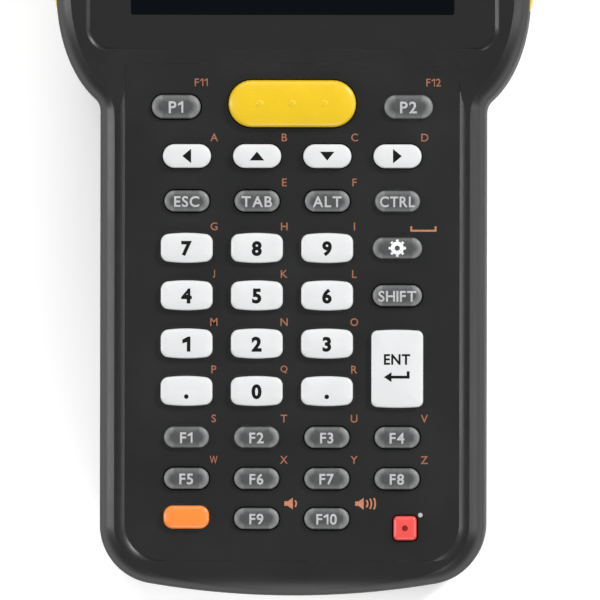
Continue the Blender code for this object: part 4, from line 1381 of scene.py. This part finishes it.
def make_latch(looks):
    """A slider with rounded edges and three ridges."""
    low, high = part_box("battery_latch")
    thumb = block("latch_slider", (-8 * MM, low.y, low.z + 0.5 * MM), (8 * MM, high.y, high.z))
    foot_low = (low.x, low.y + 0.1 * MM, high.z - 1.5 * MM)
    foot = block("foot", foot_low, (high.x, high.y - 0.1 * MM, high.z - 0.1 * MM))
    join(thumb, foot)
    bevel_edges(thumb, 0.35 * MM)
    places = [middle_of("battery_latch").y + 1.4 * i * MM for i in (-1, 0, 1)]
    ridge_profile = in_mm([(0.15, 0), (0.03, 0.1), (0, 0.25), (0, 1)], low.z)
    join(thumb, bars("ridges", places, 11 * MM, 0.35 * MM, 0.33 * MM, 5, ridge_profile))
    return complete(thumb, looks["latch"], "battery_latch", "latch_plastic", "battery_latch")


def make_screw(name, looks):
    """A pan-head screw driven from the back, with a six-lobed socket."""
    low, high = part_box(name)
    head = [(1.9, 0), (2.3, 0.1), (2.46, 0.32), (2.5, 0.6), (2.5, 1.7), (2.42, 1.8), (1.3, 1.82), (1.22, 2)]
    turns = 22
    thread_low = 2.2
    thread_high = (high.z - low.z) / MM - 1
    pitch = (thread_high - thread_low) / turns
    thread = []
    for i in range(turns):
        z = thread_low + pitch * i
        thread += [(1, z), (1.22, z + pitch * 0.45), (1, z + pitch * 0.9)]
    screw = turned(name + "_steel", name, head + thread + [(1, thread_high), (0.3, thread_high + 1)])
    middle = middle_of(name)
    lobes = []
    for i in range(48):
        angle = math.tau * i / 48
        radius = (1.05 + 0.22 * math.cos(6 * angle)) * MM
        lobes.append((middle.x + radius * math.cos(angle), middle.y + radius * math.sin(angle)))
    cut(screw, prism("socket", lobes, low.z - 1 * MM, low.z + 1.1 * MM))
    return complete(screw, looks["steel"], "body", "screw_steel", name)


def make_scan_window(looks):
    low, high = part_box("scan_window")
    outline = rounded_rectangle(high.x - low.x, low.z, high.z, 1.5 * MM)
    edge = 0.15 * MM
    profile = [(edge, low.y), (0, low.y + edge), (0, high.y - edge), (edge, high.y)]
    border = solid("scan_border", outline, profile)
    clear = inset(outline, 1.3 * MM)
    cut(border, prism("clear_hole", clear, low.y + 0.4 * MM, high.y + 1 * MM))
    pane = prism("scan_pane", inset(clear, 0.005 * MM), low.y + 0.41 * MM, high.y - 0.02 * MM)
    complete(stand_up(border), looks["window_border"], "body", "scan_glass", "scan_window")
    return complete(stand_up(pane), looks["scan_glass"], "body", "scan_glass")


def make_dock(looks):
    """The docking connector: a block in the grip's end with a row of gilt contacts."""
    low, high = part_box("dock_connector")
    face_y = low.y + 0.3 * MM
    outline = rounded_rectangle(high.x - low.x, low.z, high.z, 1.2 * MM)
    body = solid("dock_block", outline, [(0.25 * MM, -face_y), (0, 0.25 * MM - face_y), (0, -high.y)])
    turn = Matrix(((1, 0, 0, 0), (0, 0, -1, 0), (0, 1, 0, 0), (0, 0, 0, 1)))
    body.data.transform(turn)
    pad = rounded_rectangle(1.3 * MM, -1.3 * MM, 1.3 * MM, 0.3 * MM, 4)
    rings = rings_of(pad, in_mm([(0, -0.4), (0, 0.14), (0.08, 0.24), (0.2, 0.29)], -face_y))
    middle_z = (low.z + high.z) / 2
    contacts = []
    for i in range(8):
        x = (i - 3.5) * 2.4 * MM
        contacts.append([[(x + px, py + middle_z, pz) for px, py, pz in ring] for ring in rings])
    pads = lofts("dock_contacts", contacts)
    pads.data.transform(turn)
    complete(body, looks["dock"], "body", "dock_plastic", "dock_connector")
    return complete(pads, looks["gold"], "body", "dock_plastic")


def make_status_light(looks):
    profile = [(2.2, 0), (2.2, 2.2), (1.25, 2.3), (1.25, 5.3), (1.1, 5.5), (0.8, 5.63), (0.4, 5.68)]
    pipe = turned("light_pipe", "status_light", profile)
    return complete(pipe, looks["light_pipe"], "body", "light_pipe", "status_light")


# ---------------------------------------------------------------- looks, stage and camera


def make_looks():
    return {
        "body": moulded_plastic("body_plastic", (0.012, 0.0122, 0.0125)),
        "battery": moulded_plastic("battery_plastic", (0.026, 0.026, 0.027), 0.5),
        "dock": moulded_plastic("dock_plastic", (0.015, 0.015, 0.015), 0.42),
        "latch": moulded_plastic("latch_plastic", (0.09, 0.092, 0.095), 0.42),
        "label": moulded_plastic("label_plastic", (0.2, 0.2, 0.205), 0.38, spread=0.05),
        "rubber": soft_rubber("seal_rubber", (0.012, 0.012, 0.012)),
        "silicone": soft_rubber("membrane_silicone", (0.03, 0.031, 0.032)),
        "speaker": soft_rubber("speaker_rubber", (0.015, 0.015, 0.015)),
        "window_border": window_glass("window_border", (0.014, 0.014, 0.0142), 0.3, 0.25),
        "screen": window_glass("screen_glass", (0.0004, 0.0015, 0.003), 0.1, 0.12),
        "white_key": key_plastic("white_key_plastic", (0.58, 0.585, 0.59)),
        "yellow_key": key_plastic("yellow_key_plastic", (0.64, 0.42, 0.002)),
        "orange_key": key_plastic("orange_key_plastic", (0.74, 0.2, 0.025)),
        "red_key": key_plastic("red_key_plastic", (0.66, 0.06, 0.053)),
        "grey_key": smoked_plastic("grey_key_plastic"),
        "black_ink": printed_ink("black_ink", (0.004, 0.004, 0.004), 0.15),
        "dark_ink": printed_ink("dark_ink", (0.2, 0.008, 0.004), 0.2),
        "white_ink": printed_ink("white_ink", (0.42, 0.42, 0.43)),
        "bright_ink": printed_ink("bright_ink", (0.75, 0.75, 0.77)),
        "letter_ink": printed_ink("letter_ink", (0.28, 0.1, 0.05)),
        "symbol_ink": printed_ink("symbol_ink", (0.44, 0.17, 0.085)),
        "steel": metal("screw_steel", (0.45, 0.46, 0.47)),
        "gold": metal("contact_gold", (0.85, 0.6, 0.25), 0.25),
        "engine": metal("engine_metal", (0.5, 0.51, 0.53), 0.35),
        "board": circuit_board("circuit_board"),
        "scan_glass": window_glass("scan_glass", (0.035, 0.001, 0.002), 0.04, 0.35),
        "light_pipe": key_plastic("light_pipe", (0.6, 0.66, 0.62), 0.35, 0.3),
    }


def dress_inner_nodes(frame, looks):
    for node, look in (
        ("keypad_membrane", "silicone"),
        ("keypad_board", "board"),
        ("display_module", "screen"),
        ("main_board", "board"),
        ("scan_engine", "engine"),
        ("speaker", "speaker"),
    ):
        for material_slot in frame["nodes"][node].material_slots:
            material_slot.material = looks[look]


def make_floor():
    bm = bmesh.new()
    bmesh.ops.create_grid(bm, x_segments=2, y_segments=2, size=6)
    floor = object_of("floor", bm)
    nodes = Nodes("floor_paper")
    slow = nodes.noise(3, 2.0)
    nodes.set(
        base_color=nodes.mix(slow, (0.94, 0.94, 0.94), (0.96, 0.96, 0.96)),
        roughness=0.9,
        emission_color=(1.0, 1.0, 1.0),
        emission_strength=0.2,
    )
    dress(floor, nodes.material)


def make_light(name, place, target, size, power, colour=(1, 1, 1)):
    data = bpy.data.lights.new(name, "AREA")
    data.shape = "RECTANGLE"
    data.size, data.size_y = size
    data.energy = power
    data.color = colour
    lamp = new_object(name, data)
    lamp.location = place
    lamp.rotation_mode = "QUATERNION"
    lamp.rotation_quaternion = (Vector(target) - Vector(place)).to_track_quat("-Z", "Y")
    lamp.visible_camera = False


def make_lights():
    target = (0, -0.05, 0.02)
    make_light("key_light", (1.7, 1.4, 1.5), target, (0.6, 0.6), 55)
    make_light("left_light", (-2.2, 0.0, 0.95), target, (0.35, 2.4), 34)
    make_light("right_light", (2.2, -0.2, 1.0), target, (0.35, 2.0), 16)
    make_light("front_light", (0.3, -2.2, 1.6), target, (1.6, 1.0), 27)
    make_light("back_light", (-0.6, 2.2, 1.8), target, (1.6, 1.0), 27)
    world = bpy.data.worlds.new("studio")
    world.use_nodes = True
    world.node_tree.nodes["Background"].inputs["Color"].default_value = (1, 1, 1, 1)
    world.node_tree.nodes["Background"].inputs["Strength"].default_value = 0.4
    bpy.context.scene.world = world


def make_camera():
    """Almost straight over the face, a little to its right, from far enough to be nearly parallel."""
    tilt = math.radians(1.75)
    roll = math.radians(0.1)
    distance = 2.0
    width = 96 * MM
    target = Vector((1.29 * MM, -53.62 * MM, FACE_Z))
    away = Vector((math.sin(tilt), 0, math.cos(tilt)))
    data = bpy.data.cameras.new("camera")
    data.sensor_width = 36
    data.lens = data.sensor_width * distance / width
    data.clip_end = 20
    camera = new_object("camera", data)
    camera.location = target + away * distance
    right = Vector((0, 1, 0)).cross(away).normalized()
    facing = Matrix((right, away.cross(right), away)).transposed()
    camera.rotation_mode = "QUATERNION"
    camera.rotation_quaternion = (facing @ Matrix.Rotation(roll, 3, "Z")).to_quaternion()
    bpy.context.scene.camera = camera


# ---------------------------------------------------------------- assembly

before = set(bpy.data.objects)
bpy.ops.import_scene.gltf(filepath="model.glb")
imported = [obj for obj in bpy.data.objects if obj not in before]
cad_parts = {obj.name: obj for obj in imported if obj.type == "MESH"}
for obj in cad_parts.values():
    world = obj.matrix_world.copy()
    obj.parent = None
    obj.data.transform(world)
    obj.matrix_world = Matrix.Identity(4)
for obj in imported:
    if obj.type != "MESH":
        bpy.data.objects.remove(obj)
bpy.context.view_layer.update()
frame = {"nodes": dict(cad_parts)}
looks = make_looks()
make_camera()
make_lights()
make_floor()
make_front_housing(looks)
make_rear_housing(looks)
make_seal(looks)
make_label(looks)
make_port_cover(looks)
make_display(looks)
make_bezel(looks)
for key_name in KEYS:
    make_key(key_name, looks)
make_side_key("side_key_left", looks)
make_side_key("side_key_right", looks)
make_battery(looks)
make_latch(looks)
for screw_name in SCREWS:
    make_screw(screw_name, looks)
make_scan_window(looks)
make_dock(looks)
make_status_light(looks)
dress_inner_nodes(frame, looks)
bpy.context.scene.view_settings.view_transform = "Standard"
